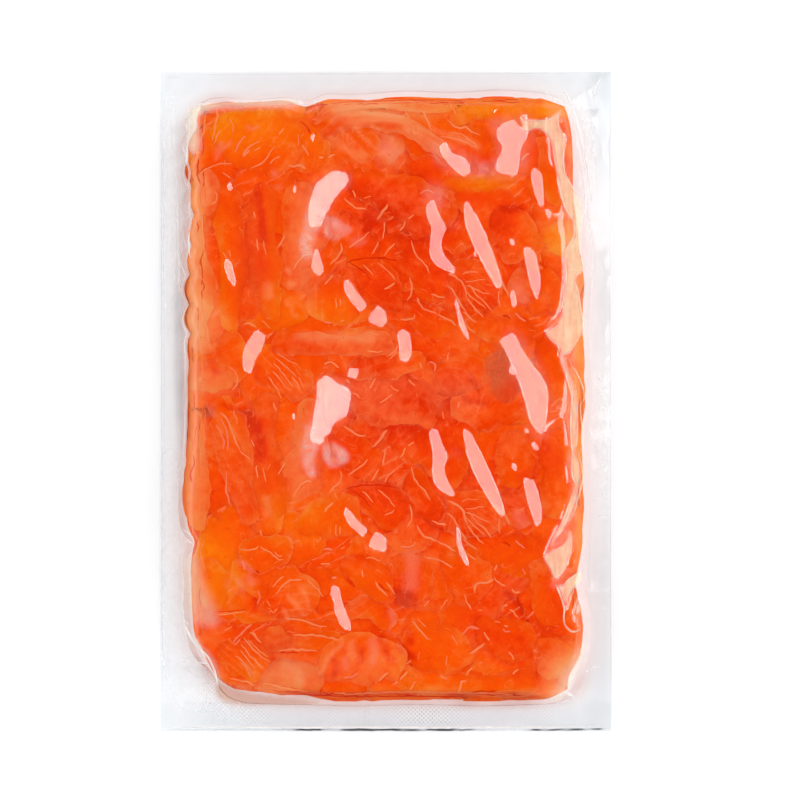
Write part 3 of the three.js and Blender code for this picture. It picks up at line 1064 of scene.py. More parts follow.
def slice_(
    heap,
    line,
    thick=1.2,
    hue=0.5,
    pale=0.0,
    lines=0.5,
    kind="across",
    step=4.2,
    spot=None,
    seed=1,
    brown=0.0,
    lip=0.05,
    cell=1.05,
    ragged=0.14,
    taper=4.5,
):
    """Lays one slice against the film, and over what comes after it.

    line is the slice's middle line in pixels, with its half width at each point."""
    global ceiling, painted_shade
    p = np.asarray(line, float)
    x, y = at(p[:, 0], p[:, 1])
    rows, length = spline(np.c_[x, y, p[:, 2] * PX * 0.977], 200)
    nu = max(8, int(length / cell) + 1)

    def surface(nu, ts):
        q, _ = spline(np.c_[x, y, p[:, 2] * PX * 0.977], nu)
        d = np.gradient(q[:, :2], axis=0)
        d /= np.hypot(*d.T)[:, None] + 1e-9
        s = np.linspace(0, length, nu)
        cap = min(q[:, 2].max() * (0.35 + 0.6 * ((seed * 0.618) % 1)), length * 0.5)
        near = np.minimum(s, length - s)
        end = np.sqrt(np.clip(1 - (1 - clamp01(near / cap)) ** 2.4, 0, 1))
        w = q[:, 2] * end
        S, T = np.meshgrid(s, ts, indexing="ij")
        side = np.sign(T)
        rag = 1 + ragged * wobble(S + 40 * side, side * 30.0, 6.0, seed) + 0.6 * ragged * wobble(
            S + 40 * side, side * 30.0, 2.3, seed + 1
        )
        W = w[:, None] * rag
        X = q[:, None, 0] - d[:, None, 1] * W * T
        Y = q[:, None, 1] + d[:, None, 0] * W * T
        bend = seed % 5
        bx = 3.4 * wobble(X, Y, 19.0, 91 + bend) + 1.5 * wobble(X, Y, 7.0, 71 + bend)
        by = 3.4 * wobble(X, Y, 19.0, 81 + bend) + 1.5 * wobble(X, Y, 7.0, 61 + bend)
        X, Y = keep_in(X + bx, Y + by)
        inner = np.minimum(W * (1 - np.abs(T)), near[:, None] * 1.2)
        return X, Y, S, T, W, np.maximum(inner, 0)

    width = float(rows[:, 2].max())
    nv = max(9, int(2 * width / cell) + 3)
    a = np.linspace(-1, 1, nv)
    ts = np.sign(a) * (1 - (1 - np.abs(a)) ** 1.25)
    X, Y, S, T, W, inner = surface(nu, ts)
    # keep the slice inside the film
    top = read(ceiling, X, Y)
    body = thick * smooth(0.5, 1.6 * taper, inner)
    drop = lip * np.exp(-inner / 0.8)
    rim = inner <= 1e-6
    z_top = top - drop - np.where(rim, 0.05, 0)
    z_low = np.minimum(z_top - 0.02, top - lip * 1.3 - 0.03 - body)
    z_low = np.maximum(z_low, 0.5)
    z_top = np.maximum(z_top, 0.7)
    z_low = np.where(rim, z_top, z_low)
    # one closed skin: the top grid, and a lower grid that shares its rim
    n = nu * nv
    edge_of = np.zeros((nu, nv), bool)
    edge_of[0], edge_of[-1], edge_of[:, 0], edge_of[:, -1] = True, True, True, True
    low_id = np.where(edge_of, np.arange(n).reshape(nu, nv), 0)
    free = ~edge_of
    low_id[free] = n + np.arange(free.sum())
    pts = np.vstack(
        [
            np.c_[X.ravel(), Y.ravel(), z_top.ravel()],
            np.c_[X[free], Y[free], z_low[free]],
        ]
    )
    up = sheet_faces(nu, nv)
    down = low_id.ravel()[up][:, ::-1]
    u, v = bands(kind, X, Y, S, T, width, seed, step, spot)
    dh, dp, db, dk = tones(X, Y)
    run = S / length - 0.5
    hue = 0.46 + 0.25 * (hue - 0.46) + 0.08 * T * (1 if seed % 2 else -1) + 0.12 * run * (1 if seed % 3 else -1)
    # painted shade beside the edges of the slices laid above
    hue = hue - 0.22 * read(painted_shade, X, Y)
    pale = 0.4 * pale + 0.07 * run * (1 if seed % 2 else -1)
    lines = 0.35 * lines
    fields = [
        u,
        v,
        np.full(X.shape, (seed * 7.31) % 50),
        hue + dh + 0 * X,
        pale + dp + 0 * X,
        lines + 0 * X,
        np.exp(-inner / 1.1) * ((seed * 0.377) % 1) * (0.5 + 0.5 * wobble(X, Y, 9, 7)),
        brown + db + 0 * X,
        dk + 0 * X,
    ]
    data = [np.r_[f.ravel(), f[free]] for f in fields]
    heap.take(
        pts,
        np.vstack([up, down]),
        np.stack(data[0:3], 1),
        np.stack(data[3:6], 1),
        np.stack(data[6:9], 1),
    )
    # lower the ceiling for what lies under it
    nf, tf = int(length / 0.35) + 2, np.linspace(-1, 1, int(2 * width / 0.35) + 3)
    Xf, Yf, _, _, _, inf_ = surface(nf, tf)
    topf = read(ceiling, Xf, Yf)
    lowf = topf - lip * 1.3 - thick * smooth(0.5, 1.6 * taper, inf_) - 0.07
    i = np.clip(np.rint((Xf - GX[0]) / CELL).astype(int), 0, len(GX) - 1)
    j = np.clip(np.rint((Yf - GY[0]) / CELL).astype(int), 0, len(GY) - 1)
    under = np.full(ceiling.shape, 99.0)
    np.minimum.at(under, (j, i), lowf)
    ceiling = np.minimum(ceiling, under)
    # and paint shade on what lies close to its edge
    cover = (under < 99.0).astype(float)
    for axis in (0, 1):
        total = np.cumsum(cover, axis)
        cover = (np.roll(total, -3, axis) - np.roll(total, 3, axis)) / 6
    painted_shade = np.maximum(painted_shade, clamp01(cover) * (0.4 + 0.6 * ((seed * 0.731) % 1)))


# The pieces that lie against the film, from the uppermost down. Each one: middle
# line (pixel x, y, half width), then what differs from the usual.
TOP_PIECES = [
    # the end of the pack that is away from the knurled band
    ([(208, 142, 20), (238, 134, 31), (275, 138, 32), (304, 140, 26)], dict(hue=0.62, kind=52, step=3.0, lines=0.55, seed=3)),
    ([(312, 124, 7), (345, 108, 9), (400, 103, 7), (452, 104, 5)], dict(hue=0.5, pale=0.34, kind="along", step=2.6, lines=0.8, seed=4)),
    ([(318, 134, 6), (352, 118, 9), (398, 122, 8), (430, 142, 9), (444, 158, 6)], dict(hue=0.45, pale=0.34, kind="along", step=3.2, lines=0.7, seed=5)),
    ([(448, 120, 6), (480, 110, 12), (520, 110, 14), (556, 114, 11)], dict(hue=0.66, kind=-62, step=6.0, lines=0.4, seed=6)),
    ([(330, 152, 10), (352, 142, 18), (376, 150, 14)], dict(hue=0.55, pale=0.06, kind=-42, step=4.0, lines=0.9, seed=7)),
    ([(378, 166, 8), (392, 150, 14), (402, 136, 8)], dict(hue=0.35, pale=0.3, kind=50, step=3.0, lines=0.4, seed=8)),
    ([(398, 116, 10), (430, 132, 22), (470, 148, 22), (500, 160, 12)], dict(hue=0.5, kind=-48, step=7.5, lines=0.75, seed=9)),
    ([(543, 132, 10), (549, 165, 15), (553, 205, 13)], dict(hue=0.52, kind=80, step=6.0, lines=0.15, seed=10)),
    ([(446, 184, 6), (484, 184, 10), (524, 183, 7)], dict(hue=0.7, kind=20, step=5.0, lines=0.2, seed=11)),
    ([(545, 250, 10), (556, 236, 19), (566, 218, 9)], dict(hue=0.72, kind=35, step=5.5, lines=0.5, seed=12)),
    ([(296, 120, 10), (312, 150, 16), (318, 168, 9)], dict(hue=0.6, kind=80, step=5.0, lines=0.35, seed=13)),
    # left side
    ([(203, 170, 8), (204, 190, 16), (199, 215, 10)], dict(hue=0.5, pale=0.36, kind=70, step=5.5, lines=0.25, seed=14)),
    ([(197, 205, 8), (197, 260, 11), (201, 320, 13), (199, 350, 9)], dict(hue=0.55, pale=0.30, kind=88, step=4.4, lines=0.5, seed=15)),
    ([(226, 182, 10), (228, 235, 17), (232, 300, 16), (236, 335, 9)], dict(hue=0.6, kind=84, step=9.0, lines=0.15, seed=16)),
    ([(262, 180, 10), (262, 230, 17), (268, 290, 16), (272, 325, 9)], dict(hue=0.36, kind=80, step=6.0, lines=0.25, brown=0.06, seed=17)),
    ([(300, 176, 12), (306, 215, 20), (300, 260, 19), (290, 290, 10)], dict(hue=0.4, pale=0.2, kind=75, step=5.0, lines=0.35, seed=18)),
    # centre, upper half
    ([(345, 180, 12), (385, 190, 24), (425, 205, 26), (455, 225, 14)], dict(hue=0.26, pale=0.04, kind=35, step=7.0, lines=0.2, seed=19)),
    ([(330, 215, 12), (352, 240, 24), (376, 262, 16)], dict(hue=0.3, kind=55, step=6.0, lines=0.55, seed=20)),
    ([(452, 262, 16), (476, 284, 30), (502, 306, 22)], dict(hue=0.33, kind="fan", spot=(458, 266), step=1.9, lines=0.85, seed=21)),
    ([(400, 235, 12), (420, 262, 24), (446, 290, 16)], dict(hue=0.24, kind=-60, step=5.5, lines=0.5, seed=22)),
    ([(495, 215, 12), (515, 240, 22), (524, 262, 12)], dict(hue=0.3, kind=60, step=6.0, lines=0.3, seed=23)),
    ([(504, 292, 9), (520, 288, 17), (532, 304, 10)], dict(hue=0.3, pale=0.26, kind=-40, step=3.0, lines=0.5, seed=24)),
    ([(545, 262, 9), (552, 290, 16), (556, 320, 10)], dict(hue=0.46, kind=85, step=6.0, lines=0.2, seed=25)),
    ([(300, 300, 12), (330, 298, 24), (352, 316, 12)], dict(hue=0.5, kind=85, step=3.2, lines=0.5, seed=26)),
    ([(350, 262, 10), (378, 284, 20), (400, 304, 12)], dict(hue=0.3, kind="rings", spot=(410, 262), step=4.2, lines=0.45, seed=27)),
    ([(405, 300, 10), (428, 318, 18), (452, 330, 10)], dict(hue=0.36, kind=-32, step=4.0, lines=0.6, seed=28)),
    ([(270, 340, 8), (310, 342, 11), (350, 344, 11), (396, 340, 8)], dict(hue=0.34, pale=0.18, kind="along", step=9.0, lines=0.12, seed=29)),
    ([(470, 318, 9), (500, 330, 14), (530, 334, 10)], dict(hue=0.36, kind=-20, step=6.0, lines=0.2, seed=30)),
    ([(222, 335, 9), (238, 352, 18), (246, 376, 10)], dict(hue=0.56, pale=0.05, kind=30, step=4.5, lines=0.3, seed=31)),
    ([(188, 384, 8), (208, 380, 17), (236, 378, 14)], dict(hue=0.5, pale=0.3, kind=20, step=6.0, lines=0.2, seed=32)),
    ([(258, 352, 10), (284, 374, 25), (312, 396, 20)], dict(hue=0.44, pale=0.04, kind=-52, step=3.3, lines=0.95, seed=33)),
    ([(345, 372, 8), (378, 362, 15), (420, 356, 10)], dict(hue=0.34, pale=0.06, kind=20, step=4.0, lines=0.4, seed=34)),
    ([(432, 388, 14), (456, 372, 25), (480, 378, 18)], dict(hue=0.32, pale=0.1, kind="rings", spot=(452, 384), step=4.6, lines=0.6, seed=35)),
    ([(498, 348, 12), (506, 370, 17), (510, 396, 12)], dict(hue=0.24, brown=0.3, pale=0.06, kind=78, step=3.0, lines=0.45, seed=36)),
    ([(540, 340, 9), (556, 372, 17), (564, 408, 12)], dict(hue=0.5, kind=-70, step=6.0, lines=0.15, seed=37)),
    # centre, lower half
    ([(345, 392, 16), (385, 398, 28), (425, 408, 18)], dict(hue=0.3, pale=0.08, kind=40, step=6.5, lines=0.3, seed=38)),
    ([(224, 392, 10), (232, 430, 18), (240, 480, 17), (246, 520, 10)], dict(hue=0.5, pale=0.1, kind=-66, step=5.0, lines=0.7, seed=39)),
    ([(262, 396, 10), (264, 440, 17), (270, 490, 17), (274, 525, 9)], dict(hue=0.32, kind=80, step=6.0, lines=0.3, brown=0.06, seed=40)),
    ([(196, 410, 9), (195, 455, 12), (197, 500, 13), (200, 528, 9)], dict(hue=0.5, pale=0.2, kind=88, step=4.4, lines=0.45, seed=41)),
    ([(304, 400, 12), (306, 435, 20), (300, 480, 18), (292, 505, 10)], dict(hue=0.4, pale=0.2, kind=75, step=5.0, lines=0.35, seed=42)),
    ([(335, 430, 12), (356, 455, 24), (380, 478, 16)], dict(hue=0.3, kind=55, step=6.0, lines=0.5, seed=43)),
    ([(386, 420, 12), (412, 440, 22), (440, 452, 14)], dict(hue=0.28, kind=30, step=5.0, lines=0.4, seed=44)),
    ([(452, 490, 16), (476, 512, 30), (502, 534, 22)], dict(hue=0.33, kind="fan", spot=(458, 494), step=1.9, lines=0.85, seed=45)),
    ([(495, 440, 12), (515, 462, 22), (524, 486, 12)], dict(hue=0.3, kind=60, step=6.0, lines=0.3, seed=46)),
    ([(545, 440, 9), (556, 480, 16), (552, 520, 12)], dict(hue=0.42, kind=85, step=6.0, lines=0.2, seed=47)),
    ([(506, 512, 9), (522, 508, 17), (534, 524, 10)], dict(hue=0.3, pale=0.24, kind=-40, step=3.0, lines=0.5, seed=48)),
    ([(300, 520, 12), (330, 518, 24), (354, 538, 12)], dict(hue=0.5, kind=85, step=3.2, lines=0.4, seed=49)),
    ([(350, 485, 10), (380, 505, 22), (404, 525, 12)], dict(hue=0.28, kind="rings", spot=(412, 486), step=4.2, lines=0.45, seed=50)),
    ([(408, 470, 10), (424, 500, 18), (446, 530, 12)], dict(hue=0.26, kind=-55, step=5.0, lines=0.4, seed=51)),
    # the end by the knurled band
    ([(196, 560, 9), (213, 578, 18), (222, 604, 10)], dict(hue=0.6, kind=60, step=6.0, lines=0.6, seed=52)),
    ([(236, 540, 12), (262, 548, 20), (296, 552, 12)], dict(hue=0.52, kind=15, step=5.0, lines=0.35, seed=53)),
    ([(230, 566, 8), (246, 582, 12), (264, 600, 8)], dict(hue=0.48, pale=0.08, kind=30, step=4.0, lines=0.2, seed=54)),
    ([(258, 606, 14), (290, 598, 28), (318, 610, 16)], dict(hue=0.5, pale=0.08, kind="rings", spot=(300, 632), step=4.6, lines=0.95, seed=55)),
    ([(335, 560, 10), (368, 572, 18), (392, 592, 12)], dict(hue=0.4, kind=-25, step=4.6, lines=0.5, seed=56)),
    ([(400, 555, 8), (412, 572, 14), (424, 600, 12)], dict(hue=0.42, kind=65, step=4.0, lines=0.7, seed=57)),
    ([(340, 612, 8), (366, 606, 13), (394, 624, 11)], dict(hue=0.5, pale=0.1, kind=30, step=4.0, lines=0.5, seed=58)),
    ([(436, 556, 12), (470, 574, 24), (500, 584, 12)], dict(hue=0.34, kind=-18, step=5.0, lines=0.4, seed=59)),
    ([(258, 684, 7), (280, 677, 13), (304, 677, 13), (324, 686, 8)], dict(hue=0.42, pale=0.34, brown=0.14, kind="along", step=6.0, lines=0.2, seed=60)),
    ([(320, 676, 12), (352, 662, 24), (386, 664, 22), (400, 680, 12)], dict(hue=0.5, pale=0.16, kind=62, step=6.2, lines=0.2, seed=61)),
    ([(214, 652, 10), (240, 656, 20), (268, 674, 13)], dict(hue=0.58, kind=-40, step=2.8, lines=0.95, seed=62)),
    ([(262, 628, 8), (276, 640, 13), (296, 650, 8)], dict(hue=0.46, brown=0.0, kind=20, step=4.0, lines=0.7, seed=63)),
    ([(286, 640, 6), (316, 640, 9), (350, 640, 7)], dict(hue=0.5, kind=0, step=3.0, lines=0.8, seed=64)),
    ([(400, 640, 12), (430, 646, 24), (470, 652, 18)], dict(hue=0.48, kind=-28, step=6.0, lines=0.4, seed=65)),
    ([(398, 678, 9), (440, 682, 14), (490, 684, 13), (536, 682, 10)], dict(hue=0.58, kind=-10, step=5.0, lines=0.35, seed=66)),
    ([(478, 628, 10), (506, 636, 20), (536, 640, 14)], dict(hue=0.44, kind=55, step=4.0, lines=0.25, seed=67)),
    ([(536, 560, 8), (552, 590, 17), (560, 622, 12)], dict(hue=0.46, kind=80, step=5.0, lines=0.2, seed=68)),
    ([(540, 640, 9), (556, 656, 17), (552, 684, 11)], dict(hue=0.55, pale=0.2, kind=45, step=6.0, lines=0.3, seed=69)),
]

upper_heap = Heap()
for k, (line, extra) in enumerate(TOP_PIECES):
    slice_(upper_heap, line, **extra)

# Slices seen between and under those, laid by rule: a staggered field of them.
rng = np.random.default_rng(11)
between = Heap()
for row in range(13):
    for col in range(6):
        px = 200 + col * 70 + (row % 2) * 26 + rng.uniform(-12, 12)
        py = 104 + row * 49 + rng.uniform(-10, 10)
        a = rng.uniform(0, math.pi)
        r, w = rng.uniform(34, 56), rng.uniform(22, 34)
        dx, dy = r * math.cos(a), r * math.sin(a)
        ends = np.array([(px - dx, py - dy, w * 0.6), (px, py, w), (px + dx, py + dy, w * 0.6)])
        ends[:, 0] = np.clip(ends[:, 0], 188, 582)
        ends[:, 1] = np.clip(ends[:, 1], 96, 700)
        slice_(
            between,
            ends,
            thick=rng.uniform(1.2, 2.0),
            hue=0.44 + rng.uniform(-0.12, 0.16),
            pale=rng.uniform(-0.05, 0.12),
            lines=rng.uniform(0.05, 0.5),
            kind=float(rng.uniform(-80, 80)),
            step=rng.uniform(3.2, 6.0),
            seed=100 + row * 6 + col,
            cell=1.7,
        )
upper_heap.make("slices_upper")
between.make("slices_between")

# ------------------------------------------------------------------ threads of fat
# Thin seams of fat and folds of skin in the slices: kind, width and middle line in
# pixels. Kinds: w pale, p pink, d dark red, some of them painted shade in folds; in
# capitals, they come again further down.
THREADS = [
    ("w", 1.6, [(217, 108), (217, 118), (215, 128), (212, 141)]),
    ("w", 1.6, [(229, 118), (233, 126), (232, 134)]),
    ("w", 1.8, [(220, 130), (217, 137), (214, 144)]),
    ("w", 1.6, [(284, 128), (279, 135)]),
    ("p", 2.2, [(246, 136), (240, 141), (236, 149), (234, 153)]),
    ("w", 2.0, [(260, 141), (252, 145), (246, 150), (242, 157)]),
    ("w", 2.0, [(260, 148), (254, 151)]),
    ("p", 2.2, [(250, 150), (246, 153), (243, 157)]),
    ("w", 1.8, [(276, 145), (271, 151), (268, 157), (260, 164), (250, 169)]),
    ("w", 1.8, [(280, 156), (273, 160), (270, 165)]),
    ("w", 1.8, [(197, 179), (203, 171), (211, 167), (221, 164), (232, 164)]),
    ("w", 2.2, [(288, 165), (294, 167), (300, 165), (306, 169)]),
    ("w", 1.5, [(213, 190), (217, 195), (215, 202), (209, 205)]),
    ("w", 1.4, [(254, 212), (255, 219)]),
    ("w", 1.8, [(302, 145), (305, 150), (309, 156)]),
    ("w", 1.3, [(298, 133), (298, 148)]),
    ("w", 1.5, [(222, 172), (227, 176), (231, 179)]),
    ("d", 2.2, [(301, 122), (306, 126), (310, 134)]),
    ("w", 2.0, [(199, 110), (197, 128), (193, 142)]),
    ("w", 1.6, [(206, 112), (204, 128), (201, 142)]),
    ("w", 1.8, [(202, 212), (203, 235), (204, 255)]),
    ("w", 1.8, [(196, 215), (195, 245), (197, 262)]),
    ("w", 1.6, [(194, 300), (193, 325), (195, 345)]),
    ("w", 1.8, [(200, 300), (199, 330), (201, 352)]),
    ("w", 1.8, [(418, 108), (424, 114), (428, 122), (432, 131)]),
    ("w", 1.4, [(404, 103), (406, 111), (409, 118)]),
    ("w", 2.0, [(319, 158), (324, 157)]),
    ("w", 1.6, [(328, 157), (336, 154)]),
    ("w", 1.3, [(447, 100), (452, 107), (456, 115)]),
    ("w", 1.3, [(462, 99), (468, 107)]),
    ("w", 2.0, [(447, 120), (453, 126), (460, 128), (466, 127), (472, 132), (481, 136)]),
    ("w", 1.4, [(450, 131), (460, 134), (470, 140), (479, 148)]),
    ("w", 1.4, [(440, 137), (455, 139), (468, 144), (480, 150)]),
    ("w", 2.2, [(529, 153), (524, 157), (521, 161)]),
    ("d", 1.6, [(331, 104), (345, 100.5), (360, 99.5), (400, 99), (440, 98), (465, 98), (478, 97), (486, 99)]),
    ("w", 1.8, [(333, 107), (346, 103), (362, 102), (400, 101.5), (436, 101)]),
    ("w", 2.0, [(343, 197), (350, 203), (357, 208), (366, 209)]),
    ("w", 2.0, [(343, 425), (350, 430), (357, 435), (366, 436)]),
    ("w", 2.4, [(388, 204), (382, 212), (377, 220)]),
    ("w", 2.4, [(387, 430), (381, 438), (376, 444), (372, 447)]),
    ("w", 1.6, [(352, 190), (356, 197)]),
    ("w", 1.4, [(363, 198), (372, 196)]),
    ("p", 1.8, [(420, 194), (427, 190), (434, 194)]),
    ("W", 1.5, [(414, 215), (408, 219)]),
    ("W", 2.2, [(340, 243), (342, 250), (338, 257), (333, 261), (329, 265)]),
    ("W", 1.8, [(369, 231), (364, 237), (358, 241), (352, 246), (348, 248)]),
    ("W", 1.5, [(385, 222), (384, 231), (383, 239)]),
    ("W", 1.8, [(405, 220), (404, 226), (400, 231)]),
    ("W", 1.8, [(395, 243), (389, 249), (384, 256)]),
    ("W", 1.4, [(379, 242), (375, 249), (371, 254)]),
    ("W", 1.9, [(411, 240), (413, 248), (417, 256), (422, 261), (427, 267), (430, 274)]),
    ("W", 2.6, [(333, 275), (328, 280), (325, 285)]),
    ("W", 1.4, [(362, 264), (368, 269), (374, 276)]),
    ("W", 1.5, [(377, 262), (385, 268), (392, 276), (395, 281)]),
    ("W", 1.5, [(410, 277), (412, 286), (411, 294), (407, 301)]),
    ("W", 1.8, [(395, 283), (390, 286), (384, 289)]),
    ("W", 1.3, [(340, 299), (340, 307)]),
    ("W", 1.3, [(336, 297), (336, 309)]),
    ("W", 2.4, [(417, 298), (420, 304), (424, 309), (430, 311), (437, 314)]),
    ("W", 2.0, [(437, 314), (445, 318), (452, 322), (456, 326)]),
    ("W", 2.2, [(415, 314), (414, 318), (407, 320), (400, 320)]),
    ("w", 1.4, [(367, 333), (373, 333), (380, 336)]),
    ("W", 1.8, [(431, 294), (440, 297), (446, 298)]),
    ("P", 2.0, [(332, 323), (324, 322)]),
    ("W", 1.4, [(345, 320), (340, 322)]),
    ("W", 2.4, [(447, 274), (453, 276), (459, 279), (463, 284), (465, 290), (467, 298)]),
    ("W", 1.4, [(464, 285), (474, 288), (484, 293), (491, 295)]),
    ("W", 1.5, [(465, 290), (473, 298), (481, 305), (486, 309)]),
    ("W", 1.5, [(466, 297), (473, 306), (480, 314), (484, 318)]),
    ("W", 1.5, [(468, 284), (477, 295), (486, 303), (492, 312)]),
    ("W", 1.2, [(463, 282), (475, 281), (486, 279)]),
    ("W", 1.2, [(461, 275), (470, 272), (478, 273)]),
    ("W", 1.8, [(446, 285), (453, 291), (457, 298), (462, 306), (467, 314)]),
    ("W", 1.4, [(463, 311), (470, 318), (477, 323)]),
    ("W", 1.6, [(462, 321), (469, 328), (476, 333)]),
    ("W", 2.0, [(502, 280), (505, 287), (508, 293), (510, 298)]),
    ("W", 1.3, [(499, 290), (499, 297), (500, 306)]),
    ("P", 2.0, [(515, 313), (520, 318), (526, 321)]),
    ("D", 1.6, [(502, 315), (508, 317), (511, 320)]),
    # dark lines in the folds of the fan piece: painted crease shade
    ("D", 1.5, [(345, 263), (358, 259), (378, 258), (400, 261)]),
    ("D", 1.3, [(349, 262), (362, 270), (372, 282)]),
    ("W", 1.8, [(285, 236), (282, 241), (278, 248)]),
    ("W", 1.4, [(256, 238), (258, 252)]),
    ("W", 1.4, [(263, 240), (266, 256)]),
    ("W", 2.0, [(312, 254), (306, 255), (301, 258), (297, 263), (293, 270)]),
    ("w", 1.4, [(223, 252), (229, 261)]),
    ("w", 1.3, [(229, 250), (231, 257)]),
    ("w", 1.4, [(243, 324), (250, 324), (256, 328)]),
    ("w", 1.4, [(262, 320), (270, 328)]),
    ("w", 2.0, [(265, 341), (269, 336), (273, 333)]),
    ("w", 1.2, [(191, 281), (196, 277), (201, 278)]),
    ("w", 1.2, [(198, 270), (200, 276), (204, 281)]),
    ("w", 1.5, [(277, 353), (283, 357), (290, 361), (298, 365)]),
    ("w", 1.5, [(275, 357), (283, 364), (290, 370), (297, 378)]),
    ("w", 1.5, [(273, 363), (281, 371), (288, 380), (294, 388)]),
    ("w", 1.5, [(271, 370), (278, 377), (285, 386), (292, 391)]),
    ("w", 1.8, [(268, 377), (273, 384), (278, 391), (282, 398)]),
    ("w", 1.5, [(298, 376), (301, 382), (304, 388)]),
    ("w", 1.4, [(292, 376), (297, 384), (301, 391)]),
    ("w", 1.5, [(228, 366), (234, 371), (238, 378), (236, 386), (231, 391)]),
    ("w", 2.6, [(219, 412), (224, 415), (228, 421), (231, 429), (234, 437), (237, 444), (240, 450)]),
    ("w", 1.4, [(234, 409), (234, 414), (237, 419), (237, 425)]),
    ("p", 2.2, [(216, 424), (221, 433), (224, 442), (223, 450)]),
    ("p", 1.8, [(220, 418), (226, 429), (228, 440), (227, 452)]),
    ("w", 1.3, [(251, 439), (254, 447)]),
    ("w", 1.6, [(239, 450), (244, 455), (250, 459)]),
    ("w", 1.4, [(191, 405), (196, 411), (202, 416)]),
    ("p", 2.0, [(273, 402), (277, 411)]),
    ("w", 2.0, [(324, 365), (329, 362), (334, 364), (339, 368)]),
    ("w", 1.4, [(366, 350), (375, 352), (384, 351)]),
    ("w", 1.6, [(398, 346), (393, 353), (386, 357)]),
    ("w", 1.3, [(397, 352), (390, 359)]),
    ("w", 1.5, [(352, 374), (356, 380)]),
    ("w", 1.6, [(346, 380), (350, 383)]),
    ("w", 1.6, [(375, 379), (372, 384), (369, 388)]),
    ("w", 1.6, [(390, 385), (394, 389), (399, 391)]),
    ("w", 1.6, [(408, 379), (412, 383), (416, 386)]),
    ("w", 2.0, [(393, 394), (386, 399), (379, 404)]),
    ("w", 1.6, [(352, 393), (357, 395), (360, 399)]),
    ("p", 2.0, [(430, 361), (436, 365), (434, 372)]),
    ("w", 1.4, [(420, 362), (422, 368)]),
    ("p", 2.2, [(459, 402), (457, 408)]),
    ("w", 1.4, [(442, 411), (444, 420)]),
    ("w", 1.4, [(449, 352), (447, 361)]),
    ("w", 1.3, [(550, 408), (556, 402), (563, 397)]),
    ("w", 1.2, [(549, 412), (558, 410)]),
    ("p", 1.8, [(226, 470), (227, 480), (226, 490), (229, 499), (231, 507)]),
    ("w", 2.2, [(240, 549), (248, 550), (254, 549), (259, 546)]),
    ("w", 1.8, [(260, 546), (264, 549), (270, 552), (275, 556), (279, 560), (284, 559)]),
    ("w", 1.4, [(274, 551), (279, 556), (283, 555)]),
    ("w", 1.4, [(261, 529), (262, 536)]),
    ("p", 1.8, [(243, 560), (245, 571)]),
    ("d", 1.8, [(256, 571), (259, 573)]),
    ("w", 1.5, [(284, 576), (277, 582), (272, 588)]),
    ("w", 2.4, [(302, 580), (292, 580), (285, 584), (280, 589), (275, 595)]),
    ("w", 2.2, [(307, 577), (311, 584), (318, 590), (323, 597)]),
    ("w", 1.4, [(366, 558), (373, 558), (381, 561)]),
    ("w", 2.0, [(424, 556), (430, 558), (437, 559), (445, 563), (453, 568)]),
    ("w", 1.6, [(362, 570), (363, 577)]),
    ("p", 2.2, [(332, 578), (337, 578)]),
    ("w", 1.9, [(375, 581), (378, 587), (383, 592), (388, 596)]),
    ("d", 1.8, [(379, 583), (383, 588), (389, 592)]),
    ("w", 1.4, [(386, 582), (391, 588), (395, 594)]),
    ("w", 1.2, [(320, 564), (330, 563)]),
    ("w", 2.4, [(475, 593), (475, 586), (479, 583), (487, 583), (494, 580)]),
    ("w", 1.8, [(494, 577), (499, 583), (506, 586)]),
    ("w", 2.0, [(511, 589), (515, 593), (520, 592)]),
    ("w", 1.4, [(497, 564), (494, 571)]),
    ("p", 1.8, [(522, 568), (526, 575)]),
    ("w", 1.8, [(285, 618), (295, 619), (305, 621), (315, 625), (328, 627)]),
    ("w", 1.4, [(270, 610), (274, 612), (278, 609)]),
    ("w", 1.4, [(267, 600), (271, 607)]),
    ("p", 1.8, [(258, 590), (260, 596), (258, 604)]),
    ("w", 1.2, [(216, 615), (230, 614), (246, 612)]),
    ("d", 1.2, [(218, 612), (232, 611), (248, 609)]),
    ("p", 2.2, [(233, 643), (238, 637), (244, 631), (252, 624)]),
    ("p", 1.6, [(234, 646), (240, 639)]),
    ("w", 2.4, [(250, 632), (256, 637), (262, 643)]),
    ("w", 2.0, [(243, 637), (252, 648), (262, 657), (270, 662)]),
    ("w", 1.7, [(240, 643), (249, 655), (258, 664), (264, 669)]),
    ("w", 1.7, [(240, 650), (248, 660), (256, 669)]),
    ("w", 1.8, [(235, 656), (243, 662), (250, 670), (254, 677)]),
    ("w", 1.6, [(240, 662), (247, 669), (251, 677)]),
    ("w", 1.6, [(248, 640), (258, 650), (268, 657)]),
    ("w", 2.2, [(278, 651), (290, 649), (300, 650), (318, 651)]),
    ("d", 1.4, [(280, 653), (300, 652.5)]),
    ("w", 2.2, [(292, 635), (300, 635), (310, 635), (320, 636), (330, 638), (342, 640)]),
    ("w", 1.2, [(222, 631), (233, 627)]),
    ("w", 2.0, [(230, 679), (240, 681), (248, 683), (256, 686)]),
    ("w", 2.2, [(262, 684), (270, 684), (280, 687), (300, 691), (312, 694)]),
    ("p", 2.8, [(358, 673), (351, 677), (344, 678)]),
    ("w", 2.8, [(388, 672), (383, 677), (379, 681)]),
    ("w", 2.8, [(408, 671), (404, 675), (400, 680)]),
    ("w", 1.8, [(416, 681), (413, 686), (410, 690)]),
    ("w", 1.6, [(398, 681), (393, 685)]),
    ("w", 1.8, [(412, 620), (418, 628), (425, 636), (431, 640)]),
    ("w", 1.4, [(417, 618), (426, 627)]),
    ("w", 1.5, [(430, 600), (424, 607)]),
    ("w", 1.3, [(412, 660), (406, 665)]),
    ("d", 2.0, [(409, 664), (412, 666)]),
    ("w", 1.8, [(322, 693), (350, 694), (380, 693), (410, 692), (440, 693), (470, 693), (500, 694), (530, 695)]),
    ("d", 1.8, [(322, 696.5), (360, 697), (400, 697), (440, 697.5), (470, 697)]),
    ("w", 1.6, [(448, 599), (443, 605), (439, 610)]),
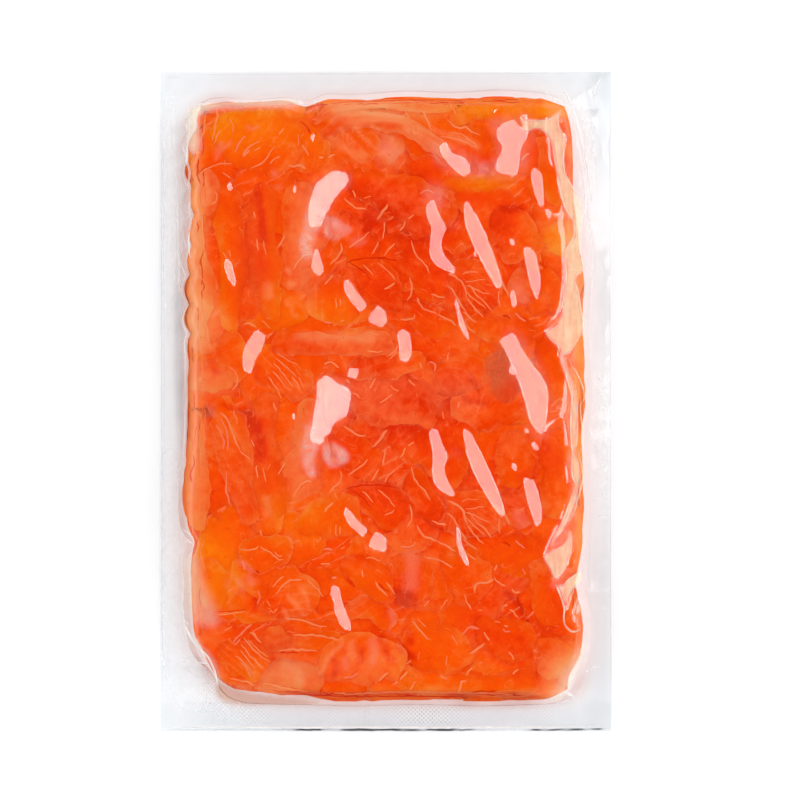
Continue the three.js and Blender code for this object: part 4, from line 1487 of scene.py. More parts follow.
    ("w", 1.6, [(464, 594), (467, 602), (471, 610)]),
    ("w", 1.4, [(478, 611), (482, 610)]),
    ("p", 2.6, [(463, 635), (466, 630), (470, 627), (474, 628), (479, 629)]),
    ("w", 2.0, [(484, 632), (487, 637), (490, 641)]),
    ("w", 2.6, [(485, 643), (480, 647), (475, 651), (469, 654)]),
    ("w", 2.2, [(503, 606), (508, 605)]),
    ("w", 1.8, [(510, 609), (514, 613), (518, 618)]),
    ("p", 2.0, [(534, 611), (530, 616), (526, 618)]),
    ("d", 2.2, [(526, 621), (529, 621)]),
    ("w", 1.4, [(494, 621), (501, 623)]),
    ("p", 2.2, [(503, 629), (506, 632), (511, 632)]),
    ("w", 1.8, [(504, 626), (508, 627)]),
    ("w", 2.0, [(508, 652), (512, 656), (514, 661)]),
    ("w", 1.8, [(512, 675), (518, 669)]),
    ("w", 1.4, [(479, 662), (482, 663)]),
    ("w", 1.4, [(474, 667), (469, 671), (466, 676)]),
    ("w", 2.4, [(467, 681), (461, 682), (460, 688), (457, 694)]),
    ("w", 2.0, [(440, 675), (447, 679)]),
    ("w", 1.6, [(452, 635), (455, 640), (458, 646)]),
    ("w", 1.2, [(447, 655), (446, 666)]),
    ("p", 1.8, [(533, 650), (537, 653)]),
]


def thread(heap, kind, wide, points, seed, deep=0.24, how=1.0):
    """One thin seam, pressed between the slices and the film."""
    if kind != "d" and wide > 1.7:  # the little shadow line beside it
        way = 1 if seed % 3 else -1
        off = (0.42 * wide + 0.55) * way
        thread(heap, "d", 0.8 * wide, [(a + 0.5 * off, b + 0.85 * off) for a, b in points], seed + 3000, 0.3)
    p, _ = spline(np.array(points, float), 60)
    x, y = at(p[:, 0], p[:, 1])
    x, y = at(p[:, 0], p[:, 1], 0.5 * 20.3 + 0.5 * read(SKIN, x, y))
    rows, length = spline(np.c_[x, y], 60)
    n = max(7, int(length / 0.7) + 1)
    rows, _ = spline(np.c_[x, y], n)
    s = np.linspace(0, 1, n)
    rows[:, 0] += 0.30 * wobble(s * length, 0 * s + seed, 1.8, seed)
    rows[:, 1] += 0.30 * wobble(s * length, 0 * s + seed, 1.8, seed + 1)
    d = np.gradient(rows, axis=0)
    d /= np.hypot(*d.T)[:, None] + 1e-9
    half = 0.56 * wide * PX * (1 + 0.3 * wobble(s * length, 0 * s + seed, 3.1, seed + 2))
    half = half * np.clip(np.minimum(s, 1 - s) * 5.0 + 0.12, 0, 1) ** 0.7
    ring = [(-1.0, 0.0), (-0.62, 0.72), (0.0, 1.0), (0.62, 0.72), (1.0, 0.0), (0.0, -1.5)]
    P, side = [], []
    for t, up in ring:
        X, Y = rows[:, 0] - d[:, 1] * half * t, rows[:, 1] + d[:, 0] * half * t
        X, Y = keep_in(X, Y)
        P.append(np.stack([X, Y, read(SKIN, X, Y) - deep + 0.13 * up * np.minimum(1, half / 0.3)], 1))
        side.append(np.full(n, 1 - abs(t)))
    P = np.stack(P, 1)
    m = len(ring)
    ids = np.arange(n * m).reshape(n, m)
    quads = [
        np.stack([ids[:-1, j], ids[1:, j], ids[1:, (j + 1) % m], ids[:-1, (j + 1) % m]], 1) for j in range(m)
    ]
    caps = [[0, 1, 2, 3], [0, 3, 4, 5]]
    for cap in caps:
        quads.append(ids[0][cap][None, :])
        quads.append(ids[-1][cap][None, ::-1])
    pts = P.reshape(-1, 3)
    dh, dp, db, dk = tones(pts[:, 0], pts[:, 1])
    mid = np.stack(side, 1).reshape(-1)
    hue, pale, pink = {"w": (0.52, 0.56, 0.04), "p": (0.45, 0.24, 0.42), "d": (0.3, -0.2, 0.0)}[kind]
    if deep < 0.3 and kind == "d":
        hue = -0.05
    one = np.ones(len(pts))
    heap.take(
        pts,
        np.vstack(quads),
        np.stack([one * 0.3, one * 0.0, one * (seed * 3.7 % 50)], 1),
        np.stack([hue + 0.7 * dh, how * pale * (0.6 + 0.4 * mid) + 0.6 * dp, 0 * one], 1),
        np.stack([0 * one, 0.5 * db, how * pink * (0.6 + 0.4 * mid) + dk], 1),
    )


seams = Heap()
for k, (kind, wide, points) in enumerate(THREADS):
    thread(seams, kind.lower(), wide, points, 500 + k)
    if kind.isupper():
        thread(seams, kind.lower(), wide, [(a, b + AGAIN) for a, b in points], 800 + k)
# and many short faint ones, that lie much the same way as their neighbours
rng = np.random.default_rng(7)
for k in range(420):
    px, py = rng.uniform(198, 574), rng.uniform(106, 692)
    way = 3.0 * float(wobble(np.array(px), np.array(py), 46.0, 17)) + rng.normal(0, 0.35) + 0.9
    length = rng.uniform(4, 14)
    line, turn = [(px, py)], way
    for _ in range(4):
        line.append((line[-1][0] + length / 4 * math.cos(turn), line[-1][1] + length / 4 * math.sin(turn)))
        turn += rng.normal(0, 0.7)
    kind = "wwpwp"[int(rng.integers(0, 5))]
    thread(seams, kind, rng.uniform(0.8, 1.3), line, 5000 + 3 * k, 0.27, rng.uniform(0.2, 0.5))
# and long ones that run along the sides, where the slices are folded over
for k in range(150):
    side = int(rng.integers(0, 10))
    length, off = rng.uniform(14, 44), rng.uniform(0, 1)
    if side < 4:
        px, py, along = 190 + 15 * off, rng.uniform(112, 610), 1
    elif side < 6:
        px, py, along = 583 - 9 * off, rng.uniform(250, 640), 1
    elif side < 8:
        px, py, along = rng.uniform(212, 520), 98.5 + 6 * off, 0
    else:
        px, py, along = rng.uniform(250, 540), 698 - 7 * off, 0
    sway = rng.normal(0, 1.3, 4)
    line = [(px + (0 if along else length * j / 3), py + (length * j / 3 if along else 0)) for j in range(4)]
    line = [(a + (w if along else 0), b + (0 if along else 0.5 * w)) for (a, b), w in zip(line, sway)]
    kind = "wwwpd"[int(rng.integers(0, 5))]
    thread(seams, kind, rng.uniform(1.0, 1.7), line, 8000 + 3 * k, 0.26, rng.uniform(0.3, 0.75))
seams.make("fat_seams")

# ------------------------------------------------------------------ the sides of the stack
def outline(count):
    """Points on the nominal outline with rounded corners, and which way is out."""
    r = 7.0
    pts = []
    for cx, cy, a0 in (
        (RIGHT - r, TOP - r, 0),
        (LEFT + r, TOP - r, 90),
        (LEFT + r, BOTTOM + r, 180),
        (RIGHT - r, BOTTOM + r, 270),
    ):
        for a in np.radians(np.linspace(a0, a0 + 90, 13)):
            pts.append((cx + r * math.cos(a), cy + r * math.sin(a), math.cos(a), math.sin(a)))
    pts.append(pts[0])
    p = np.array(pts)
    run = np.r_[0, np.cumsum(np.hypot(*np.diff(p[:, :2], axis=0).T))]
    s = np.linspace(0, run[-1], count, endpoint=False)
    q = np.stack([np.interp(s, run, p[:, k]) for k in range(4)], 1)
    q[:, 2:] /= np.hypot(q[:, 2], q[:, 3])[:, None]
    return q, s, run[-1]


RING, RING_S, RING_LEN = outline(760)
LID = ceiling.copy()
for _ in range(2):
    LID[1:-1, 1:-1] = np.minimum.reduce(
        [LID[1:-1, 1:-1], LID[2:, 1:-1], LID[:-2, 1:-1], LID[1:-1, 2:], LID[1:-1, :-2]]
    )
LID = np.where(INSIDE > 0.2, LID, SKIN - 0.2)


def wall_inset(k, z, gap=0.35):
    """How far inside the nominal outline the fish stands at height z, so that the films clear it."""
    q = RING[k % len(RING)]
    z = np.asarray(z, float)
    beside = np.where(q[:, 0] < 0, clear_left(q[:, 1]), clear_right(q[:, 1]))
    along = np.where(q[:, 1] < 0, clear_bottom(q[:, 0]), clear_top(q[:, 0]))
    least = beside * q[:, 2] ** 2 + along * q[:, 3] ** 2
    low, high = np.zeros(z.shape) + least, np.full(z.shape, 24.0)
    for _ in range(22):
        mid = (low + high) / 2
        x0, y0 = q[:, 0] - q[:, 2] * mid, q[:, 1] - q[:, 3] * mid
        ok = (upper(x0, y0) - gap > z) & (lower(x0, y0) + gap * 0.4 < z)
        low, high = np.where(ok, low, mid), np.where(ok, mid, high)
    return (low + high) / 2


def side_piece(heap, k0, k1, zm, h, deep, seed, hue, pale, lines, step):
    """One slice whose cut edge shows in the side, from ring point k0 to k1."""
    n = k1 - k0 + 1
    k = np.arange(k0, k1 + 1)
    s = np.linspace(0, 1, n)
    end = np.sqrt(np.clip(1 - np.abs(2 * s - 1) ** 6, 0, 1))
    z0 = zm + 0.5 * wobble(k * 1.2, k * 0.0 + seed, 16, seed) + 0.22 * wobble(k * 1.2, k * 0.0, 5, seed + 2)
    hh = h * (0.35 + 0.65 * end) * (1 + 0.16 * wobble(k * 1.2, k * 0.0 + 3, 11, seed + 4))
    section = []
    for f in np.radians([-88, -62, -34, -10, 14, 38, 64, 88]):
        z = np.clip(z0 + hh / 2 * math.sin(f), 0.45, 30)
        inset = wall_inset(k, z) + 0.42 * hh * (1 - math.cos(f)) ** 1.2
        inset = inset + 0.25 + 0.35 * wobble(k * 1.2, k * 0.0 + 9, 4.2, seed + 6) + 2.5 * (1 - end)
        section.append((inset, z, math.sin(f)))
    for extra, level in ((0.45, 1), (1.0, 1), (1.0, -1), (0.45, -1)):
        z = np.clip(z0 + level * hh / 2 * (1.0 - 0.25 * extra), 0.45, 30)
        inset = section[0 if level < 0 else 7][0] + deep * extra
        section.append((inset, z, level * 0.6))
    m = len(section)
    q = RING[k % len(RING)]
    P, F, L, L2 = [], [], [], []
    cum = RING_S[k % len(RING)] + RING_LEN * (k // len(RING))
    for inset, z, lev in section:
        x, y = place(q[:, 0] - q[:, 2] * inset, q[:, 1] - q[:, 3] * inset)
        z = np.minimum(z, np.maximum(read(LID, x, y) - 0.12, 0.5))
        P.append(np.stack([x, y, z], 1))
        u = (cum + 1.5 * (z - zm) + 0.8 * wobble(cum, z * 3, 7, seed)) / step
        F.append(np.stack([u, z * 2 + 0 * x, np.full(n, (seed * 5.3) % 50)], 1))
        dh, dp, db, dk = tones(x, y)
        L.append(np.stack([hue + 0.6 * dh, pale + 0.5 * dp, lines + 0 * x], 1))
        L2.append(np.stack([0 * x + 0.9 * abs(lev) ** 6, 0.5 * db + 0 * x, 0 * x], 1))
    P = np.stack(P, 1)  # n by m
    ids = np.arange(n * m).reshape(n, m)
    quads = []
    for j in range(m):
        a, b = ids[:-1, j], ids[:-1, (j + 1) % m]
        c, d = ids[1:, (j + 1) % m], ids[1:, j]
        quads.append(np.stack([a, b, c, d], 1))
    flat = lambda A: np.stack(A, 1).reshape(n * m, -1)
    pts, fib, look, look2 = P.reshape(-1, 3), flat(F), flat(L), flat(L2)
    # close both ends round a middle point
    tips, total = [], n * m
    for row in (0, n - 1):
        pts = np.vstack([pts, P[row].mean(0)])
        fib, look, look2 = (np.vstack([A, A[row * m]]) for A in (fib, look, look2))
        c = total
        total += 1
        for j in range(m):
            a, b = ids[row, j], ids[row, (j + 1) % m]
            tips.append((c, a, b, b) if row == 0 else (c, b, a, a))
    heap.take(pts, np.vstack(quads), fib, look, look2)
    heap.tips = getattr(heap, "tips", []) + [
        (c + heap.count - len(pts), a + heap.count - len(pts), b + heap.count - len(pts))
        for c, a, b, d in [(t[0], t[1], t[2], t[3]) for t in tips]
    ]


class SideHeap(Heap):
    def make(self, name):
        faces = np.vstack(self.faces)
        tris = np.vstack([faces[:, [0, 1, 2]], faces[:, [0, 2, 3]], np.array(self.tips)])
        self.faces = [tris]
        return super().make(name)


sides = SideHeap()
rng = np.random.default_rng(5)
z = 0.6
level = 0
while z < 19.2:
    h = float(rng.uniform(2.3, 3.3))
    if z + h > 19.0:
        h = 20.0 - z
    start = int(rng.uniform(0, 760))
    used = 0
    while used < 760:
        n = int(rng.uniform(60, 190))
        if 760 - used - n < 50:
            n = 760 - used
        side_piece(
            sides,
            start + used - 4,
            start + used + n + 4,
            z + h / 2 + float(rng.uniform(-0.25, 0.25)),
            h * 1.16,
            11.0,
            300 + level * 17 + used % 13,
            0.6 + float(rng.uniform(-0.2, 0.22)),
            float(rng.uniform(-0.05, 0.22)),
            float(rng.uniform(0.2, 0.9)),
            float(rng.uniform(3.0, 6.0)),
        )
        used += n
    z += h
    level += 1
sides.make("slices_side")

# ------------------------------------------------------------------ the core under the slices
nx, ny = 110, 164
cx = np.linspace(LEFT + 6.5, RIGHT - 8.5, nx)
cy = np.linspace(BOTTOM + 7.0, TOP - 6.5, ny)
CX, CY = np.meshgrid(cx, cy, indexing="ij")
PX_, PY_ = place(CX, CY)
room = read(ceiling, PX_, PY_)
lowered = np.minimum.reduce([room, np.roll(room, 1, 0), np.roll(room, -1, 0), np.roll(room, 1, 1), np.roll(room, -1, 1)])
top_z = np.maximum(np.minimum(room, lowered + 0.8) - 0.05, 2.0)
low_z = np.full(top_z.shape, 0.45) + 0.12 * wobble(PX_, PY_, 8, 3)
n = nx * ny
rim = np.zeros((nx, ny), bool)
rim[0], rim[-1], rim[:, 0], rim[:, -1] = True, True, True, True
top_z[rim] = np.minimum(top_z[rim], 15.0)
core = Heap()
pts = np.vstack([np.c_[PX_.ravel(), PY_.ravel(), top_z.ravel()], np.c_[PX_.ravel(), PY_.ravel(), low_z.ravel()]])
ids = np.arange(n).reshape(nx, ny)
loop = np.r_[ids[:, 0], ids[-1, 1:], ids[-2::-1, -1], ids[0, -2:0:-1]]
nxt = np.roll(loop, -1)
walls = np.stack([loop + n, nxt + n, nxt, loop], 1)
u, v = bands(30.0, PX_, PY_, None, None, None, 8, 4.6, None)
dh, dp, db, dk = tones(PX_, PY_)
two = lambda a: np.r_[a.ravel(), a.ravel()]
core.take(
    pts,
    np.vstack([sheet_faces(nx, ny), sheet_faces(nx, ny, n, True), walls]),
    np.stack([two(u), two(v), two(0 * u + 3)], 1),
    np.stack([two(0.42 + dh), two(0.02 + dp), two(0.6 + 0 * u)], 1),
    np.stack([two(0 * u), two(db), two(0 * u)], 1),
)
core.make("salmon_core")

# ------------------------------------------------------------------ the two films
def lines_of(edge0, side0, run0, run1, side1, edge1, step, border_cells):
    a = np.linspace(edge0, side0 - 0.2 * run0, border_cells, endpoint=False)
    b = side0 + run0 * np.linspace(-0.2, 1.15, 15)
    c = side1 - run1 * np.linspace(1.15, -0.2, 15)
    d = np.linspace(side1 + 0.2 * run1, edge1, border_cells + 1)[1:]
    m = int((c[0] - b[-1]) / step)
    mid = np.linspace(b[-1], c[0], m + 1)[1:-1]
    return np.r_[a, b, mid, c, d]


fx = lines_of(-POUCH_W / 2, LEFT, WALL["left"], WALL["right"], RIGHT, POUCH_W / 2, 0.62, 9)
fy = lines_of(-POUCH_L / 2, BOTTOM, WALL["bottom"], WALL["top"], TOP, POUCH_L / 2, 1.0, 10)
FX, FY = np.meshgrid(fx, fy, indexing="ij")
AX, AY = place(FX, FY)


def border_relief(x0, y0):
    """Creases and cockles in the flat border."""
    e = depth(x0, y0)
    out = smooth(-0.12, -0.3, e)
    rim = np.minimum(
        np.minimum(x0 + POUCH_W / 2, POUCH_W / 2 - x0), np.minimum(y0 + POUCH_L / 2, POUCH_L / 2 - y0)
    )
    free = smooth(0.0, 3.0, rim)
    z = 0.22 * wobble(x0 * 0.35, y0, 4.0, 41) + 0.16 * wobble(x0, y0 * 0.6, 2.6, 42)
    return 0.4 * out * z * (0.35 + 0.65 * free)


# Painted light in the border, laid as milk where it is brightest: pixel, half sizes, how milky.
PAINTED_LIGHT_SPOTS = [
    (169, 205, 8, 110, 0.45),
    (170, 510, 10, 66, 0.40),
    (173, 622, 14, 64, 0.30),
    (600, 450, 14, 100, 0.20),
    (590, 150, 9, 60, 0.20),
    (192, 680, 17, 34, 0.30),
]
# Painted glare in the film over the fish, laid as milk where the highlights spread: outline in pixels, how milky, how
# soft in mm.
GLARE = [
    (GLINTS[0], 0.20, 1.5),
    (GLINTS[13], 0.20, 1.5),
    ([(307, 212), (320, 204), (325, 217), (317, 232), (312, 246), (312, 257), (304, 260), (300, 246), (303, 230)], 0.29, 0.9),
    ([(306, 424), (322, 420), (327, 434), (318, 448), (314, 462), (314, 478), (307, 472), (302, 458)], 0.29, 0.9),
    ([(324, 216), (334, 217), (343, 222), (351, 230), (345, 236), (333, 240), (326, 236), (322, 226)], 0.24, 0.5),
    ([(324, 443), (334, 444), (343, 449), (351, 457), (345, 463), (333, 467), (326, 463), (322, 453)], 0.24, 0.5),
    ([(430, 142), (450, 146), (478, 160), (490, 172), (470, 176), (440, 166)], 0.10, 1.6),
    ([(488, 122), (530, 118), (530, 150), (522, 176), (484, 176), (498, 150)], 0.10, 1.4),
    ([(425, 186), (442, 186), (444, 204), (428, 206)], 0.10, 1.8),
    ([(500, 336), (518, 334), (548, 384), (550, 430), (536, 436), (516, 380)], 0.08, 1.6),
]


# Where it is warm too: no fish under it, only painted glare as warm milk and a painted red shade, which stands for the
# shadow beside the fish and the red it throws: outline in pixels, height, how milky, how strong the red shade, how soft
# in mm.
CREAM = [
    ([(216, 670), (232, 681), (256, 688), (300, 693), (322, 699), (300, 703), (224, 702)], 4.0, 0.10, 1.0, 0.9),
    ([(183, 556), (196, 552), (204, 580), (213, 600), (219, 620), (214, 623), (198, 622), (189, 614), (183, 600)], 12.0, 0.24, 0.1, 1.6),
    ([(186, 622), (196, 636), (206, 645), (214, 654), (222, 676), (218, 684), (211, 662), (200, 648), (188, 632)], 8.0, 0.24, 0.3, 0.8),
    ([(186, 106), (290, 100), (292, 107), (206, 113), (201, 150), (190, 150)], 14.0, 0.56, 0.0, 1.2),
    ([(582, 642), (584, 655), (574, 672), (562, 698), (550, 700), (556, 684), (567, 664), (576, 648)], 10.0, 0.34, 0.0, 1.5),
]


def soften(grid, size):
    fx, fy = np.fft.fftfreq(grid.shape[1], CELL)[None, :], np.fft.fftfreq(grid.shape[0], CELL)[:, None]
    return np.real(np.fft.ifft2(np.fft.fft2(grid) * np.exp(-2 * (np.pi * size) ** 2 * (fx**2 + fy**2))))


def glare_map():
    """Painted glare as milk and its warmth over the fish, and the painted red shade beside it."""
    milk_and_glare, warm, red_shade = np.zeros(XX.shape), np.zeros(XX.shape), np.zeros(XX.shape)
    for shape, how, size in GLARE:
        spot = soften(within(shape, rough=0.5).astype(float), size)
        across = wobble(XX * 0.5 + YY * 0.3, YY, 1.0, 11) if how == 0.29 else wobble(XX, YY * 0.3, 1.4, 11)
        milk_and_glare, warm = np.maximum(milk_and_glare, how * spot * (0.75 + 0.5 * across)), np.maximum(warm, 0.3 * spot)
    for shape, high, how, tint, size in CREAM:
        spot = soften(within(shape, z=high).astype(float), size)
        milk_and_glare, warm, red_shade = np.maximum(milk_and_glare, how * spot), np.maximum(warm, 0.8 * spot), np.maximum(red_shade, tint * spot)
    # painted glare along the right shoulder, streaked, with brighter edges
    for shape in SHOULDER:
        on = smooth(0.22, 0.95, soften(within(shape, z=18.0, rough=0.4).astype(float), 0.55))
        edge = (4 * on * (1 - on)) ** 2
        streak = 0.5 + 0.5 * wobble(XX * 1.0, YY * 0.12, 0.9, 12)
        milk_and_glare = np.maximum(milk_and_glare, on * (0.36 + 0.28 * streak) + 0.16 * edge * (0.4 + 0.6 * wobble(XX, YY, 6.0, 13)))
        warm = np.maximum(warm, on)
    return np.clip(milk_and_glare, 0, 0.9), warm, red_shade


PAINTED_GLARE, PAINTED_GLARE_WARMTH, PAINTED_RED_SHADE = glare_map()


def film_haze_and_glare(x0, y0, x, y):
    """How milky the upper film is, with painted light: the bright fold along the left foot, the whitened pocket on the
    right, the bright places in the border and the glare over the fish.
    """
    e = depth(x0, y0)
    # painted highlight along the film's fold at the left foot
    painted_rim_highlight = gauss((e + 0.06) / 0.08) * smooth(-82, -86, x0)
    painted_rim_highlight = painted_rim_highlight * (0.6 + 0.4 * wobble(x0, y0, 9, 61)) * smooth(-60, -10, y0)
    flat = 0.08 + 0.0 * x
    for px, py, rx, ry, how in PAINTED_LIGHT_SPOTS:
        mx, my = at(px, py, 2.0)
        flat = flat + how * np.exp(-(((x - mx) / (rx * PX)) ** 2) - ((y - my) / (ry * PX)) ** 4)
    out = smooth(0.0, -0.3, e)
    # painted light whitening the clear pocket on the right
    painted_pocket_light = smooth(0.42, 0.1, e) * smooth(-0.45, -0.15, e) * smooth(60, 84, x0) * smooth(40, 62, y0)
    return np.clip(flat * out + 0.7 * painted_rim_highlight + 0.30 * painted_pocket_light * (0.6 + 0.6 * wobble(x, y * 0.1, 1.1, 62)) + read(PAINTED_GLARE, x, y), 0, 0.95)


# Places in the border where it is greyer, partly the film and partly painted shadow, most beside the fish on the left:
# pixel, half sizes, how grey.
GREY_AND_SHADE = [
    (386, 86, 235, 14, 0.17),
    (400, 716, 240, 15, 0.34),
    (178, 712, 24, 30, -0.05),
    (603, 90, 12, 90, 0.30),
    (602, 630, 16, 120, 0.20),
    (600, 290, 12, 70, 0.10),
    (180, 345, 6, 75, 0.42),
    (182, 440, 5, 60, 0.26),
    (181, 190, 4, 70, 0.14),
]


def film_grey_and_shade(x0, y0, x, y):
    """How grey the border is: more toward the cut edge, where two films lie on the table, and painted shadow beside the
    fish.
    """
    rim = np.minimum(POUCH_W / 2 - np.abs(x0), POUCH_L / 2 - np.abs(y0))
    out = smooth(0.1, -0.25, depth(x0, y0))
    grey_and_shade = 0.03 + 0.08 * smooth(7.0, 1.0, rim)
    for px, py, rx, ry, how in GREY_AND_SHADE:
        mx, my = at(px, py, 2.0)
        grey_and_shade = grey_and_shade + how * np.exp(-(((x - mx) / (rx * PX)) ** 4) - ((y - my) / (ry * PX)) ** 4)
    return np.clip(out * grey_and_shade, 0, 0.9)


def red_shade_at(x0, y0, x, y):
    """Painted shade beside the fish, tinted with the fish's reflected red: most on the left and at the bottom."""
    e = depth(x0, y0)
    low_left = smooth(-60, -84, x0) * smooth(-20, -50, y0) * smooth(-134, -120, y0)
    foot = smooth(-110, -124, y0) * smooth(-62, -40, x0) * smooth(78, 58, x0)
    middle = smooth(-30, -10, y0) * smooth(64, 48, y0)
    near = smooth(-0.6 + 0.42 * low_left, -0.05, e) * smooth(0.5 + 0.5 * foot, 0.22 + 0.42 * foot, e)
    how = 0.2 + (0.28 + 0.18 * middle) * smooth(-60, -84, x0) + 0.4 * smooth(-110, -132, y0)
    how = how - 0.16 * smooth(60, 84, x0)
    return np.clip(np.maximum(near * how * (0.85 + 0.3 * wobble(x, y, 9, 71)), read(PAINTED_RED_SHADE, x, y)), 0, 1)


def knurl_at(x0, y0, x, y):
    """The seal along the bottom, where a fine knurl is pressed into the film."""
    seal = smooth(-137.2, -138.0, y0) * (1 - smooth(-146.8, -147.6, y0))
    deep = 0.25 + 0.0 * x
    for px, rx in ((236, 34), (432, 44), (330, 20), (540, 24)):
        deep = deep + (0.75 if rx > 30 else 0.3) * np.exp(-(((x - at(px, 712, 2.0)[0]) / (rx * PX)) ** 4))
    return seal * np.clip(deep, 0, 1)


def film_sheen(x0, y0, x, y):
    """How glossy the film is, how warm its painted glare is, and how strong the painted red shade beside the fish is.
    Less glossy down the walls, where it clings in fine wrinkles.
    """
    e = depth(x0, y0)
    wall = smooth(-0.2, 0.0, e) * smooth(0.72, 0.4, e)
    most = 1 - 0.85 * wall * (1 - 0.5 * smooth(60, 80, x0))
    gloss = most * (1 - 0.75 * smooth(-0.1, -0.3, e))
    red_shade_tint = red_shade_at(x0, y0, x, y)
    return np.stack([gloss.ravel(), read(PAINTED_GLARE_WARMTH, x, y).ravel(), red_shade_tint.ravel(), 0 * gloss.ravel() + 1], 1)


film_z = upper(FX, FY) + read(RELIEF, AX, AY) + border_relief(FX, FY)
haze = np.stack(
    [
        film_haze_and_glare(FX, FY, AX, AY).ravel(),
        knurl_at(FX, FY, AX, AY).ravel(),
        film_grey_and_shade(FX, FY, AX, AY).ravel(),
        np.ones(FX.size),
    ],
    1,
)
upper_film = mesh(
    "film_upper",
    np.c_[AX.ravel(), AY.ravel(), film_z.ravel()],
    sheet_faces(len(fx), len(fy)),
    FILM,
    {"haze": haze, "sheen": film_sheen(FX, FY, AX, AY)},
)

gx_ = lines_of(-POUCH_W / 2, LEFT, WALL["left"], WALL["right"], RIGHT, POUCH_W / 2, 3.2, 6)
gy_ = lines_of(-POUCH_L / 2, BOTTOM, WALL["bottom"], WALL["top"], TOP, POUCH_L / 2, 3.2, 7)
LX, LY = np.meshgrid(gx_, gy_, indexing="ij")
BX, BY = place(LX, LY)
low_film_z = np.maximum(lower(LX, LY) + 0.06, 0.06) + border_relief(LX, LY)
n = LX.size
ids = np.arange(n).reshape(LX.shape)
loop = np.r_[ids[:, 0], ids[-1, 1:], ids[-2::-1, -1], ids[0, -2:0:-1]]
ex, ey = LX.ravel()[loop], LY.ravel()[loop]
cut = np.c_[BX.ravel()[loop], BY.ravel()[loop], (upper(ex, ey) + border_relief(ex, ey)) - 0.02]
top_ids = n + np.arange(len(loop))
walls = np.stack([loop, np.roll(loop, -1), np.roll(top_ids, -1), top_ids], 1)
haze = np.stack(
    [
        np.where(depth(LX, LY) < -0.15, 0.03, 0.0).ravel(),
        (0 * LX).ravel(),
        np.where(depth(LX, LY) < -0.15, 0.02, 0.0).ravel(),
        np.ones(n),
    ],
    1,
)
haze = np.vstack([haze, np.tile([0.6, 0, 0, 1], (len(loop), 1))])
sheen = np.tile([0.25, 0, 0, 1], (n + len(loop), 1))
lower_film = mesh(
    "film_lower",
    np.vstack([np.c_[BX.ravel(), BY.ravel(), low_film_z.ravel()], cut]),
    np.vstack([sheet_faces(len(gx_), len(gy_), 0, True), walls]),
    FILM,
    {"haze": haze, "sheen": sheen},
)

